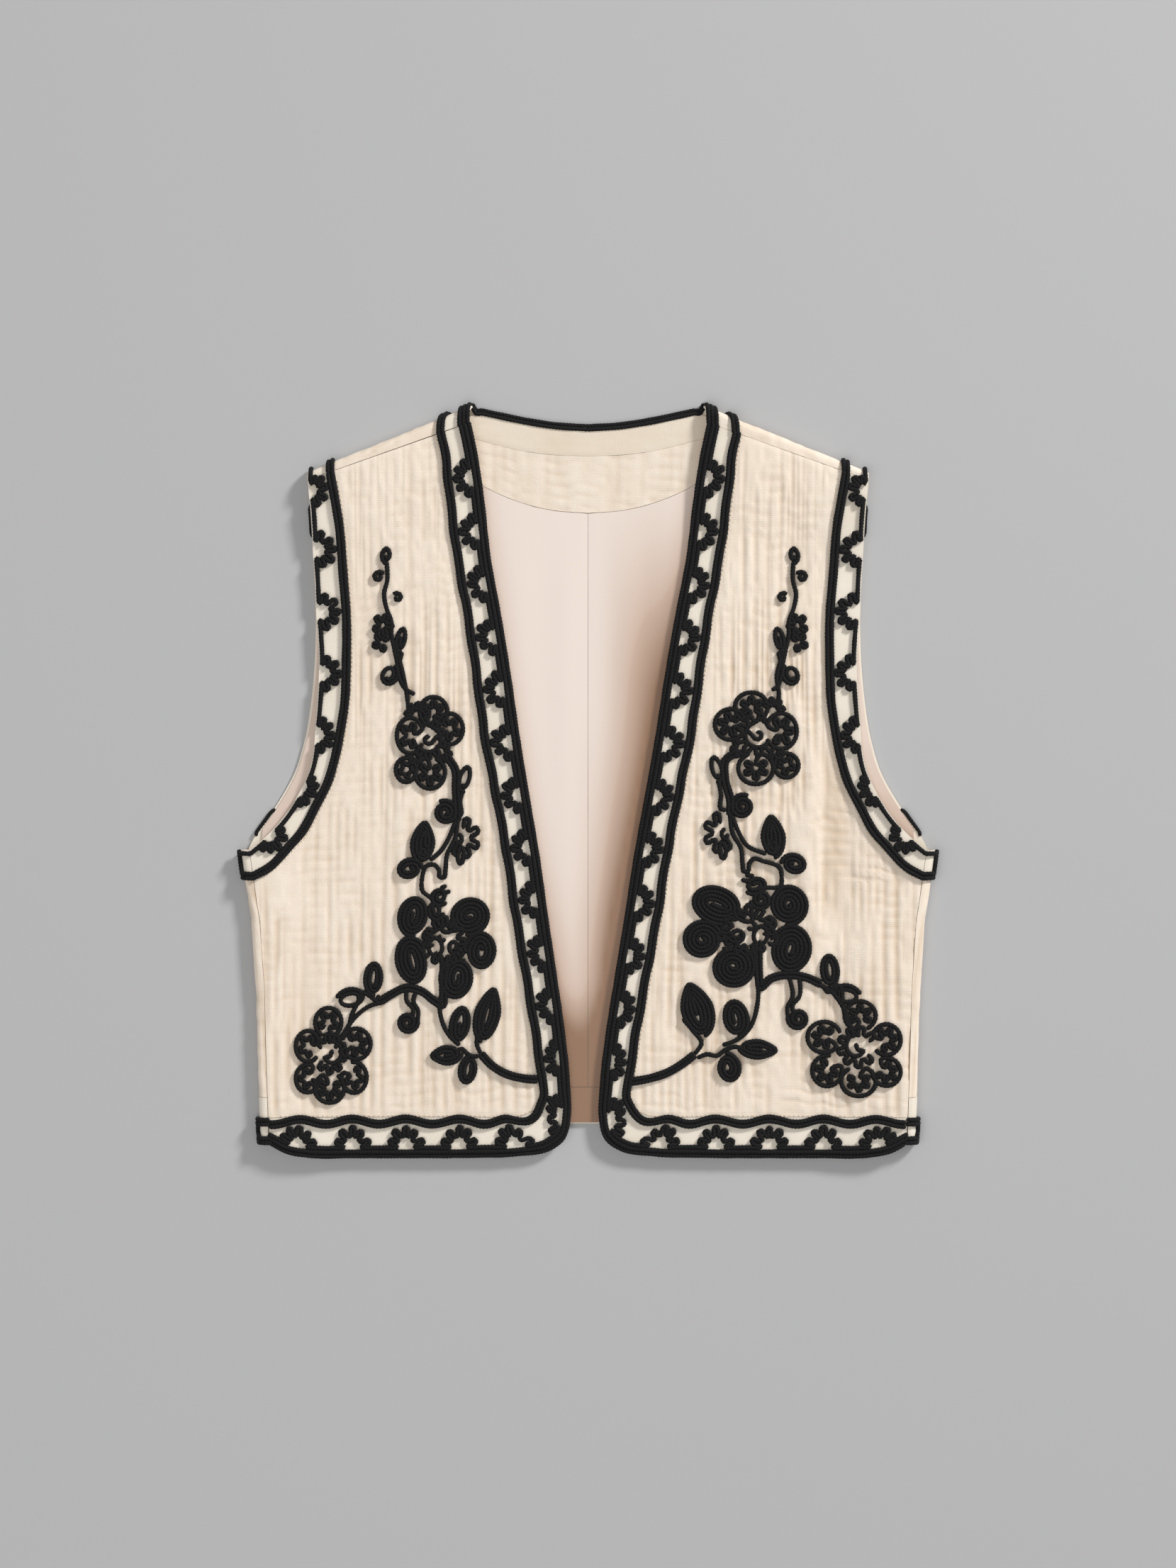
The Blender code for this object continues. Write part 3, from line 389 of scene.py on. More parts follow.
probe_x, probe_y = np.meshgrid(np.linspace(60, 200, 60), np.linspace(-200, 200, 160))
probe = crinkle(probe_x, probe_y, 11)[0]
print("crinkle relief in mm:", round(float(probe.min()), 2), "to", round(float(probe.max()), 2))

# %% [markdown]
# ## Cloth
# A panel is cut as a flat shape and has no thickness to speak of. So each one starts as a grid,
# which is shaped so that its rows follow the panel's own outline. Solidify then gives it its wall.
# The points keep their place on the flat cloth as a UV map, which the weave follows, and the shade
# painted on them, deepest in creases and where other pieces keep the light off, as an attribute,
# which the colour follows.

# %% Making a sheet
JOIN_REACH = 0.00004    # points of two blocks closer than this become one
CURVED_SHARE = 0.45     # a sheet that fills less of its box than this is a curved band
UV_SCALE = 10           # units of the Weave map to a metre


def only(piece):
    """Makes piece the only thing that is selected, and active."""
    if bpy.context.object and bpy.context.object.mode != "OBJECT":
        bpy.ops.object.mode_set(mode="OBJECT")
    bpy.ops.object.select_all(action="DESELECT")
    piece.select_set(True)
    bpy.context.view_layer.objects.active = piece


def grid_block(rows, surface):
    """A grid whose points follow rows of flat points, and surface puts each in space."""
    rows = np.asarray(rows, float)
    count_y, count_x = rows.shape[0] - 1, rows.shape[1] - 1
    bpy.ops.object.select_all(action="DESELECT")
    bpy.ops.mesh.primitive_grid_add(x_subdivisions=count_x, y_subdivisions=count_y, size=1.0)
    block = bpy.context.object
    mesh = block.data
    co = np.zeros(len(mesh.vertices) * 3)
    mesh.vertices.foreach_get("co", co)
    co = co.reshape(-1, 3)
    i = np.rint((co[:, 0] + 0.5) * count_x).astype(int)
    j = np.rint((co[:, 1] + 0.5) * count_y).astype(int)
    flat = rows[j, i]
    x, y, z, painted_shade = surface(flat[:, 0], flat[:, 1])
    mesh.vertices.foreach_set("co", (np.stack([x, y, z], 1) * MM).ravel())
    # Each point keeps the shade painted on it, which the colour follows.
    mesh.attributes.new("painted_shade", "FLOAT", "POINT").data.foreach_set(
        "value", np.broadcast_to(painted_shade, x.shape).astype(np.float32))
    corner = np.zeros(len(mesh.loops), int)
    mesh.loops.foreach_get("vertex_index", corner)
    weave = mesh.uv_layers.new(name="Weave") if not mesh.uv_layers else mesh.uv_layers[0]
    weave.name = "Weave"
    weave.data.foreach_set("uv", (flat[corner] * MM * UV_SCALE).ravel())
    mesh.update()
    return block


def cloth(name, blocks, surface, wall, offset, finish, nodes):
    """A sheet of cloth from blocks of flat rows. It prints its flat size."""
    made = [grid_block(rows, surface) for rows in blocks]
    only(made[0])
    for block in made[1:]:
        block.select_set(True)
    if len(made) > 1:
        bpy.ops.object.join()
    piece = bpy.context.object
    piece.name = piece.data.name = name
    bpy.ops.object.mode_set(mode="EDIT")
    bpy.ops.mesh.select_all(action="SELECT")
    bpy.ops.mesh.remove_doubles(threshold=JOIN_REACH)
    bpy.ops.mesh.normals_make_consistent(inside=False)
    bpy.ops.object.mode_set(mode="OBJECT")
    normals = np.zeros(len(piece.data.polygons) * 3)
    piece.data.polygons.foreach_get("normal", normals)
    if normals.reshape(-1, 3)[:, 2].sum() < 0:
        bpy.ops.object.mode_set(mode="EDIT")
        bpy.ops.mesh.flip_normals()
        bpy.ops.object.mode_set(mode="OBJECT")
    solidify = piece.modifiers.new("Wall", "SOLIDIFY")
    solidify.thickness, solidify.offset = wall * MM, offset
    bpy.ops.object.modifier_apply(modifier="Wall")
    bpy.ops.object.shade_smooth_by_angle(angle=math.radians(50))
    piece.data.materials.clear()
    piece.data.materials.append(finish)
    low = np.min([np.asarray(rows).reshape(-1, 2).min(0) for rows in blocks], 0)
    high = np.max([np.asarray(rows).reshape(-1, 2).max(0) for rows in blocks], 0)
    width, length = (high - low) * MM
    area = sum(flat_area(rows) for rows in blocks) * MM * MM
    if area < CURVED_SHARE * width * length:        # its length goes along its middle
        middle_row = np.asarray(blocks[0])[len(blocks[0]) // 2]
        length = float(lengths(middle_row)[-1]) * MM
        width = area / length
    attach(piece, "root")
    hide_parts(*nodes)
    print(f"{name}: {width * 1000:.0f} x {length * 1000:.0f} mm, {area * 1e4:.0f} cm2,"
          f" {len(piece.data.polygons)} faces")


def flat_area(rows):
    """Area of a block of flat rows, in square mm."""
    rows = np.asarray(rows, float)
    a, b, c, d = rows[:-1, :-1], rows[:-1, 1:], rows[1:, 1:], rows[1:, :-1]
    p, q = c - a, d - b
    return float(abs(p[..., 0] * q[..., 1] - p[..., 1] * q[..., 0]).sum() / 2)

# %% [markdown]
# ## Finishes
# Cloth is rough and scatters light, so each finish starts with a rough shader and a little sheen.
# The weave is a bump from two sets of fine bands, one for each direction of the threads, that
# noise makes uneven. Shade is painted into the creases: they are coloured a little darker and
# warmer than the puffs between them.

# %% Node helpers
class Finish:
    """A material with its shader, and a short way to add nodes to it."""

    def __init__(self, name, colour, roughness, sheen=0.0, specular=0.25):
        self.material = bpy.data.materials.new(name)
        self.material.use_nodes = True
        self.tree = self.material.node_tree
        self.shader = self.tree.nodes["Principled BSDF"]
        self.shader.inputs["Base Color"].default_value = (*colour, 1)
        self.shader.inputs["Roughness"].default_value = roughness
        self.shader.inputs["Sheen Weight"].default_value = sheen
        self.shader.inputs["Sheen Roughness"].default_value = 0.45
        self.shader.inputs["Specular IOR Level"].default_value = specular
        self.bumps = None

    def add(self, kind, **values):
        node = self.tree.nodes.new(kind)
        for name, value in values.items():
            if hasattr(node, name):
                setattr(node, name, value)
            else:
                socket = next(s for s in node.inputs if s.name.replace(" ", "_") == name)
                if isinstance(value, bpy.types.NodeSocket):
                    self.tree.links.new(value, socket)
                else:
                    socket.default_value = value
        return node

    def mix(self, share, first, second):
        node = self.add("ShaderNodeMix", data_type="RGBA")
        for socket, value in ((node.inputs[0], share), (node.inputs[6], first),
                              (node.inputs[7], second)):
            if isinstance(value, bpy.types.NodeSocket):
                self.tree.links.new(value, socket)
            else:
                socket.default_value = (*value, 1) if isinstance(value, tuple) else value
        return node.outputs[2]

    def spread(self, value, low, high, to_low=0.0, to_high=1.0):
        node = self.add("ShaderNodeMapRange")
        self.tree.links.new(value, node.inputs[0])
        for k, number in enumerate((low, high, to_low, to_high), 1):
            node.inputs[k].default_value = number
        return node.outputs[0]

    def bump(self, height, strength, distance):
        node = self.add("ShaderNodeBump")
        node.inputs["Strength"].default_value = strength
        node.inputs["Distance"].default_value = distance
        self.tree.links.new(height, node.inputs["Height"])
        if self.bumps:
            self.tree.links.new(self.bumps, node.inputs["Normal"])
        self.bumps = node.outputs["Normal"]
        self.tree.links.new(self.bumps, self.shader.inputs["Normal"])

    def colour(self, socket):
        self.tree.links.new(socket, self.shader.inputs["Base Color"])

    def thread_bands(self, along, period, wobble):
        """Bands across the Weave map, period in mm; the map has 10 units to a metre."""
        uv = self.add("ShaderNodeUVMap", uv_map="Weave").outputs[0]
        node = self.add("ShaderNodeTexWave", wave_type="BANDS", bands_direction=along,
                        Vector=uv, Scale=100.0 / period * 2 * math.pi / 20.0, Distortion=wobble,
                        Detail=2.0, Detail_Scale=1.5)
        return node.outputs["Fac"]

    def noise(self, scale, detail=2.0, stretch=None):
        place = self.add("ShaderNodeTexCoord").outputs["Object"]
        if stretch:
            place = self.add("ShaderNodeMapping", Vector=place, Scale=stretch).outputs[0]
        return self.add("ShaderNodeTexNoise", Vector=place, Scale=scale,
                        Detail=detail).outputs["Fac"]


def gauze_finish(name, puff, deep, blotch):
    """Crinkled gauze: its colour on the puffs, the darker colour of the shade painted in the
    creases, and of its faint blotches.
    """
    made = Finish(name, puff, 0.92, sheen=0.12)
    # Painted shade: the colour goes towards deep where a point lies in a crease.
    painted_shade = made.add("ShaderNodeAttribute", attribute_name="painted_shade").outputs["Fac"]
    soft = made.mix(made.spread(made.noise(14.0, 3.0), 0.35, 0.7, 0.0, 0.6), puff, blotch)
    colour = made.mix(made.spread(painted_shade, 0.0, 1.0, 0.0, 0.95), soft, deep)
    picks = made.thread_bands("Y", 1.25, 3.0)
    ends = made.thread_bands("X", 0.95, 2.0)
    flecks = made.spread(made.noise(900.0, 2.0), 0.35, 0.75, 0.0, 0.16)
    made.colour(made.mix(flecks, made.mix(made.spread(picks, 0, 1, 0, 0.10), colour, deep), deep))
    made.bump(made.noise(420.0, 3.0), 0.35, 0.0003)
    made.bump(picks, 0.35, 0.00012)
    made.bump(ends, 0.22, 0.0001)
    return made.material


# The second colour of each is that of the painted shade in the creases.
GAUZE = gauze_finish("Crinkled gauze", (0.91, 0.80, 0.68), (0.65, 0.50, 0.36),
                     (0.885, 0.76, 0.63))
GAUZE_INSIDE = gauze_finish("Crinkled gauze inside", (0.90, 0.795, 0.68), (0.64, 0.50, 0.36),
                            (0.85, 0.73, 0.60))


def band_finish(name, colour, deep):
    """The smoother cloth of the bands: a plain close weave with faint marks."""
    made = Finish(name, colour, 0.9, sheen=0.1)
    soft = made.mix(made.spread(made.noise(30.0, 3.0), 0.4, 0.75, 0.0, 0.5), colour, deep)
    flecks = made.spread(made.noise(700.0, 2.0), 0.45, 0.8, 0.0, 0.22)
    made.colour(made.mix(flecks, soft, deep))
    made.bump(made.noise(260.0, 3.0), 0.3, 0.0003)
    made.bump(made.thread_bands("Y", 0.8, 1.5), 0.3, 0.00009)
    made.bump(made.thread_bands("X", 0.8, 1.5), 0.3, 0.00009)
    return made.material


BAND = band_finish("Smooth band", (0.86, 0.785, 0.675), (0.77, 0.665, 0.53))
NECK_STRIP = band_finish("Inner neck strip", (0.80, 0.70, 0.575), (0.70, 0.58, 0.44))

# %% [markdown]
# Satin is woven so that long threads lie on top, and that gives it its soft shine. The lining is
# peach. Where the fronts and the neck keep the light from it, shade is painted into its colour,
# deeper and browner, as an attribute of each point says.

# %% Satin, cord and thread
satin = Finish("Satin lining", (0.88, 0.77, 0.70), 0.42, sheen=0.25, specular=0.4)
# Painted shade: the lining goes deeper and browner, through two shade colours, where the fronts and
# the neck keep light from it.
shade = satin.add("ShaderNodeAttribute", attribute_name="painted_shade").outputs["Fac"]
fair = satin.mix(satin.spread(satin.noise(6.0, 2.0, (1.0, 0.25, 1.0)), 0.35, 0.7, 0.0, 0.7),
                 (0.835, 0.725, 0.65), (0.80, 0.67, 0.59))
dim = satin.mix(satin.spread(shade, 0.0, 0.55), fair, (0.60, 0.44, 0.345))
satin.colour(satin.mix(satin.spread(shade, 0.5, 1.0), dim, (0.29, 0.165, 0.098)))
satin.bump(satin.noise(40.0, 2.0, (1.0, 0.3, 1.0)), 0.12, 0.0006)
satin.bump(satin.thread_bands("X", 0.3, 0.6), 0.12, 0.00003)
SATIN = satin.material

cord_finish = Finish("Black cord", (0.0075, 0.0072, 0.0075), 0.82, sheen=0.05, specular=0.22)
fibres = cord_finish.noise(900.0, 3.0)
cord_finish.colour(cord_finish.mix(cord_finish.spread(fibres, 0.4, 0.8, 0.0, 0.6),
                                   (0.0062, 0.0060, 0.0063), (0.017, 0.016, 0.016)))
cord_finish.bump(fibres, 0.6, 0.0004)
CORD_BLACK = cord_finish.material

thread_finish = Finish("Sewing thread", (0.86, 0.76, 0.62), 0.7, sheen=0.1)
thread_finish.bump(thread_finish.noise(1500.0, 2.0), 0.4, 0.0001)
THREAD = thread_finish.material
print("finishes:", [m.name for m in (GAUZE, GAUZE_INSIDE, BAND, NECK_STRIP, SATIN, CORD_BLACK,
                                     THREAD)])

# %% [markdown]
# ## The back
# The back is one panel of gauze that turns over at the sides and shoulders and ends at the seams
# just inside the folds. It is laid out flat, rolled round the folds by a function, and creased
# inwards only, because its underside rests on the surface. Its bands follow the same rungs.

# %% Rungs of the back
BACK_STEP = 5.0
FOLD_STEPS = 10
TURN_ROWS = FOLD_STEPS + 3      # round a shoulder fold, and two more up to the seam


def shoulder_rows(x):
    r = FOLD_RADIUS
    start = fold_line(x) - r
    rows = [start + math.pi * r * k / FOLD_STEPS for k in range(FOLD_STEPS + 1)]
    end = start + math.pi * r + seam_drop(x) - r - SEAM_GAP
    return rows + [(rows[-1] + end) / 2, end]


def side_steps():
    r = FOLD_RADIUS
    start = SEAM_IN - r
    return [0.0, start / 2] + [start + math.pi * r * k / FOLD_STEPS for k in range(FOLD_STEPS + 1)]


def side_seam(y):
    r = FOLD_RADIUS
    return fold_half(y) - r + math.pi * r + SEAM_IN - r - SEAM_GAP


def back_arm_rungs():
    rungs = []
    for step in side_steps():
        edge_x, rail_x = side_seam(ARM_TIP) - step, side_seam(ARM_FOOT) - step
        rungs.append((edge_x, ARM_TIP + 0.03 * step, rail_x, ARM_FOOT + 0.04 * step))
    rungs += smooth(BACK_ARMHOLE, BACK_STEP)
    edge_x, rail_x = BACK_ARMHOLE[-1][0] + 0.6, BACK_ARMHOLE[-1][2] + 0.2
    for edge_y, rail_y in zip(shoulder_rows(edge_x), shoulder_rows(rail_x)):
        rungs.append((edge_x, edge_y, rail_x, rail_y))
    return [tuple(float(v) for v in r) for r in rungs]


def back_neck_rungs():
    rungs = smooth(BACK_NECK, BACK_STEP)
    for k in range(TURN_ROWS):
        share = (1 - k / (TURN_ROWS - 1)) ** 2
        edge_x, rail_x = FRONT_BAND[0][0] - 4.0 * share, FRONT_BAND[0][2] - 8.0 * share
        rungs.append((edge_x, shoulder_rows(edge_x)[k], rail_x, shoulder_rows(rail_x)[k]))
    return [tuple(float(v) for v in r) for r in rungs]


def inset(rungs, amount):
    """The rail points, moved towards the edge."""
    out = []
    for ex, ey, rx, ry in rungs:
        share = amount / math.hypot(ex - rx, ey - ry)
        out.append((rx + (ex - rx) * share, ry + (ey - ry) * share))
    return out


def across_band(edge, near, count):
    edge, near = np.asarray(edge, float)[:, :2], np.asarray(near, float)[:, :2]
    share = np.linspace(0, 1, count + 1)[:, None, None]
    return edge[None] * (1 - share) + near[None] * share


def turned(rows):
    return np.asarray(rows, float) * np.array([-1.0, 1.0])


def back_surface(x, y):
    relief, painted_shade = crinkle(x, y, 71)
    x, y, z = rolled(x, y, np.clip(-relief, 0, 0.5))
    # The creases of the back carry painted shade.
    return x, y, z, painted_shade


def back_band_surface(x, y):
    x2, y2, z = rolled(x, y, 0.08 * (1 + uneven(x, y, 9, 9, 31)))
    return x2, y2, z, 0.0


arm, neck = back_arm_rungs(), back_neck_rungs()
rail = [(r[2], r[3]) for r in arm]
steps = side_steps()
corner = min(range(len(rail)),
             key=lambda k: gap_between(rail[k], BACK_ARMHOLE[ARM_CORNER_ROW][2:]))
shoulder, neck_turn = len(arm) - TURN_ROWS, len(neck) - TURN_ROWS
neck_rail = [(r[2], r[3]) for r in neck]
print("rungs:", len(arm), "round an armhole,", len(neck), "on half the neck")

# %% Back panel
FLAT_COLS = 18


def hem_rail(x):
    return back_hem(x) + HEM_BAND


low_y = hem_rail(side_seam(-210) - 3)
inner = corner - len(steps) + 1
side_xs = [side_seam(low_y) - step for step in steps]
side_xs += [side_xs[-1] + (rail[corner][0] - 3 - side_xs[-1]) * k / inner
            for k in range(1, inner + 1)]
cols = 2 * FLAT_COLS + 2 * neck_turn
middle = resample([(-rail[corner][0], rail[corner][1]), rail[corner]], cols + 1)
across_top = np.concatenate([turned(rail[:corner + 1]), middle[1:], rail[:corner][::-1]])
flat_xs = np.linspace(-side_xs[-1], side_xs[-1], cols + 1)
low_xs = np.concatenate([-np.array(side_xs), flat_xs[1:], np.array(side_xs[:-1])[::-1]])
bottom = np.stack([low_xs, hem_rail(low_xs)], 1)
levels = np.linspace(low_y, ARM_FOOT, 30)
seam = np.stack([side_seam(levels), levels], 1)
seam[0], seam[-1] = bottom[-1], rail[0]
lower = coons(bottom, across_top, turned(seam), seam)

right_side = np.array(rail[corner:shoulder + 1])
over = resample([rail[shoulder], neck_rail[neck_turn]], FLAT_COLS + 1)
half_top = np.concatenate([over, np.array(neck_rail[:neck_turn + 1])[::-1][1:]])
top = np.concatenate([turned(half_top), half_top[:-1][::-1]])
centre = coons(middle, top, turned(right_side), right_side)
shoulders = np.array([resample([a, b], FLAT_COLS + 1)
                      for a, b in zip(rail[shoulder:], neck_rail[neck_turn:])])
shoulders[-1, :, 1] = [shoulder_rows(x)[-1] for x in shoulders[-1, :, 0]]
cloth("Back_panel", [lower, centre, shoulders, turned(shoulders)], back_surface, WALL, 1,
      GAUZE, ["back_panel"])

# %% Back bands
half_low = []
for k, x in enumerate(side_xs):
    if k < len(steps):
        y = HEM_AT_SEAM + (back_hem(x) - HEM_AT_SEAM) * float(ease(steps[k] / 14))
        half_low.append((side_seam(y) - steps[k], y))
    else:
        half_low.append((x, back_hem(x)))
half_low = np.array(half_low, float)
low = np.concatenate([turned(half_low), np.stack([flat_xs[1:-1], back_hem(flat_xs[1:-1])], 1),
                      half_low[::-1]])
high = bottom - np.array([0.0, SEAM_GAP])
cloth("Back_hem_band", [across_band(low, high, 8)], back_band_surface, WALL, 1, BAND,
      ["back_hem_band"])
edge, near = [(r[0], r[1]) for r in arm], inset(arm, SEAM_GAP)
for side, word in SIDES:
    rows = across_band(edge, near, 7) * np.array([side, 1.0])
    cloth("Back_armhole_band_" + word, [rows], back_band_surface, WALL, 1, BAND,
          ["back_armhole_band_" + word])
edge, near = np.array([(r[0], r[1]) for r in neck]), np.array(inset(neck, 3 * SEAM_GAP))
neck_rows = [np.concatenate([turned(p)[::-1], p[1:]]) for p in (edge, near)]
cloth("Back_neck_band", [across_band(*neck_rows, 7)], back_band_surface, WALL, 1, BAND,
      ["back_neck_band"])

# %% [markdown]
# ## The inside
# Through the open fronts one sees a smooth strip under the neck, a facing of crinkled gauze, the
# satin lining in two halves with a seam down the middle, and a strip of satin along the hem. They
# lie on the back, a hair apart, so their edges show as real seams.

# %% Inside pieces
STRIP_LIFT = 0.25       # of the neck strip off the back, and the facing's
FACING_LIFT = 0.35


def strip_surface(x, y):
    dip = -0.25 * ease(1 - abs(y - np.interp(abs(x), STRIP_X, STRIP_Y)) / 1.6)
    return x, y, WALL + SEAM_GAP + STRIP_LIFT + dip + 0.1 * uneven(x, y, 12, 5, 41), 0.0


def facing_surface(x, y):
    relief, painted_shade = crinkle(x * 1.25, y, 57)
    # Painted shade in the creases, and a painted shadow that grows towards the sides.
    shadow = 0.45 * ease((abs(x) - 62) / 30)
    return x, y, WALL + SEAM_GAP + FACING_LIFT + 0.8 * relief, np.clip(painted_shade + shadow, 0, 1)


def satin_shade(x, y):
    """How much light the fronts keep from the satin, 0 to 1."""
    opening = np.interp(y, [-230, -170, -50, 70, 190, 240], [12, 15, 33, 53, 71, 80])
    under = (0.36 + 0.2 * ease(-y / 120)) * ease((abs(x) - opening + 16) / 26) * (abs(x) < 130)
    low_right = 0.75 * ease((x + 14) / 34) * ease((60 - y) / 190)
    right = 0.95 * ease(x / 48) * ease((215 - y) / 180)
    low = 0.35 * ease((-40 - y) / 150) + 0.6 * ease((-130 - y) / 60)
    armhole = 0.32 * ease((abs(x) - 150) / 14) * np.where(x < 0, 1.0, 0.4)
    return np.clip(under + low_right + right * (x < 130) + low + armhole, 0, 1)


def lining_surface(x, y):
    z = satin_height(x, y) + 0.12 * uneven(x, y, 26, 60, 83)
    seam_dip = 0.35 * ease(1 - abs(x) / 2.2)
    pucker = 0.16 * uneven(x, y, 7, 5, 85) * ease((abs(x) - 160) / 15)
    return x, y, np.maximum(z - seam_dip + pucker, WALL + 0.15), satin_shade(x, y)


def hem_facing_surface(x, y):
    # Painted shade: the hem strip lies low between the fronts and gets more painted shade than the
    # lining.
    return x, y, WALL + SEAM_GAP + 0.1 * uneven(x, y, 15, 9, 87), np.clip(
        satin_shade(x, y) + 0.28, 0, 1)


rungs = smooth(INNER_NECK, 3.0)
STRIP_X = [r[2] for r in rungs]
STRIP_Y = [r[3] for r in rungs]


def both_halves(points):
    points = np.asarray(points, float)
    return np.concatenate([turned(points)[::-1], points[1:]])


strip_top, strip_seam, facing_foot = ([(r[k], r[k + 1]) for r in rungs] for k in (0, 2, 4))
cloth("Inner_neck_strip", [across_band(both_halves(strip_top), both_halves(strip_seam), 12)],
      strip_surface, LINING_WALL, 1, NECK_STRIP, ["inner_neck_strip"])
seam_top = np.asarray(strip_seam) - np.array([0.0, SEAM_GAP])
cloth("Neck_facing", [across_band(both_halves(seam_top), both_halves(facing_foot), 26)],
      facing_surface, LINING_WALL, 1, GAUZE_INSIDE, ["neck_facing"])
xs = np.linspace(-209, 209, 90)
rows = across_band(np.stack([xs, back_hem(xs) + 1.0], 1),
                   np.stack([xs, np.full_like(xs, HEM_FACING - SEAM_GAP)], 1), 8)
cloth("Hem_facing", [rows], hem_facing_surface, LINING_WALL, 1, SATIN, ["hem_facing"])

# %% Lining
LINING_IN = 1.6         # from the armhole's edge in to the lining
SIDE_MARGIN = 21        # from the side fold to the lining
SHOULDER_MARGIN = 18    # from the shoulder fold down to the lining
CORNER_X = 182.5        # of the lining's outer upper corner

arm_line = []
for ex, ey, rx, ry in smooth(BACK_ARMHOLE, 8):
    share = LINING_IN / math.hypot(ex - rx, ey - ry)
    arm_line.append((ex + (rx - ex) * share, ey + (ry - ey) * share))
side_line = [(float(fold_half(y)) - SIDE_MARGIN, y) for y in (HEM_FACING, -160, -110, -78)]
outer = side_line + [(219.5, -52)] + [p for p in arm_line if p[0] < 221 and p[1] < 188]
outer = resample(outer + [(CORNER_X, fold_line(CORNER_X) - SHOULDER_MARGIN)], 110)
foot = [(r[4], r[5] - SEAM_GAP) for r in rungs]
top = foot[:-1] + [(104, foot[-1][1] - 3)]
top += [(x, fold_line(x) - SHOULDER_MARGIN) for x in (128, 156, CORNER_X)]
top = resample([(max(SEAM_GAP / 2, x), y) for x, y in top], 56)
for side, word in SIDES:
    share = (outer[:, 1] - outer[0, 1]) / (outer[-1, 1] - outer[0, 1])
    seam = np.stack([np.full(len(outer), SEAM_GAP / 2),
                     HEM_FACING + (top[0, 1] - HEM_FACING) * share], 1)
    foot_row = np.stack([np.linspace(SEAM_GAP / 2, outer[0, 0], len(top)),
                         np.full(len(top), HEM_FACING)], 1)
    rows = coons(foot_row, top, seam, outer) * np.array([side, 1.0])
    cloth("Lining_" + word, [rows], lining_surface, LINING_WALL, 1, SATIN, ["lining_" + word])

# %% [markdown]
# ## The fronts
# Each front is a gauze panel with a smooth band along its front edge and hem, and another along
# its armhole. The panel dips a little along its seams, as cloth does where it is sewn, and its
# creases fade out there.

# %% Fronts
PANEL_STEP = 2.4
PANEL_COLS = 128
FRONT_CRINKLE = {-1: (17, 0.85), 1: (29, 1.15)}     # seed and strength on each front


def front_surface_of(side):
    """The outer face of a front's gauze and how it dips at its seams."""
    band_rows = smooth(FRONT_BAND, 6)
    arm_rows = smooth(FRONT_ARMHOLE, 6)
    seam_points = np.array([(r[2], r[3]) for r in band_rows + arm_rows])
    seed, strength = FRONT_CRINKLE[side]

    def from_seam(x, y):
        best = np.full(x.shape, 1e9)
        for px, py in seam_points:
            best = np.minimum(best, (x - px) ** 2 + (y - py) ** 2)
        shoulder_gap = fold_line(x) - seam_drop(x) - y
        return np.minimum(np.sqrt(best), np.maximum(shoulder_gap, 0) + 1.5)

    def surface(x, y):
        relief, painted_shade = crinkle(side * x + 40 * side, y, seed)
        near = from_seam(abs(x), y)
        fade = ease(near / 9.0)
        z = front_height(side * abs(x), y) + relief * strength * (0.35 + 0.65 * fade)
        z = z - 0.5 * ease(1 - near / 4.0)
        # Painted shade: that of the crinkle, weaker near the seams, and more in the troughs of the
        # large folds.
        painted_shade = painted_shade * (0.25 + 0.75 * fade) * min(1.0, strength) + 0.62 * fold_relief(x, y)[1]
        return lean(x, y), y, z, np.minimum(painted_shade, 1)
    return surface


def band_surface(x, y):
    z = front_height(x, y) + 0.10 * uneven(x, y, 8, 11, 61) - 0.05
    return lean(x, y), y, z, 0.0


def make_front(side, word):
    band, arm_rungs = smooth(FRONT_BAND, PANEL_STEP), smooth(FRONT_ARMHOLE, PANEL_STEP)
    corner_at = min(range(len(band)), key=lambda k: gap_between(band[k], FRONT_BAND[CORNER_ROW]))
    front_rail = np.array([(r[2], r[3]) for r in band[:corner_at + 1]][::-1])
    hem_rail_points = np.array([(r[2], r[3]) for r in band[corner_at:]])
    arm_rail = [(r[2], r[3]) for r in arm_rungs]
    seam_rows = [(float(fold_half(y)) - SEAM_IN, y) for _, y in front_rail if y < ARM_FOOT - 4]
    seam_rows[0] = tuple(hem_rail_points[-1])
    spare = len(front_rail) - len(seam_rows)
    outer_line = np.array(seam_rows + [tuple(p) for p in resample(arm_rail, spare)])
    hem_line = resample(hem_rail_points[::-1], PANEL_COLS + 1)
    top_line = resample([outer_line[-1], front_rail[-1]], PANEL_COLS + 1)
    top_line[:, 1] = fold_line(top_line[:, 0]) - seam_drop(top_line[:, 0])
    mirror = np.array([side, 1.0])
    rows = coons(hem_line, top_line, outer_line, front_rail) * mirror
    cloth("Front_panel_" + word, [rows], front_surface_of(side), WALL, -1, GAUZE,
          ["front_panel_" + word])
    edge_line, near_line = [(r[0], r[1]) for r in band], inset(band, SEAM_GAP)
    rows = across_band(edge_line, near_line, 12) * mirror
    cloth("Front_band_" + word, [rows], band_surface, WALL, -1, BAND, ["front_band_" + word])
    arm_edge = matched([(r[0], r[1]) for r in arm_rungs], arm_rail, outer_line[len(seam_rows):])
    rungs_here = [(*e, *r) for e, r in zip(arm_edge, outer_line[len(seam_rows):])]
    rows = across_band(arm_edge, inset(rungs_here, SEAM_GAP), 10) * mirror
    cloth("Armhole_band_" + word, [rows], band_surface, WALL, -1, BAND,
          ["armhole_band_" + word])


for side, word in SIDES:
    make_front(side, word)

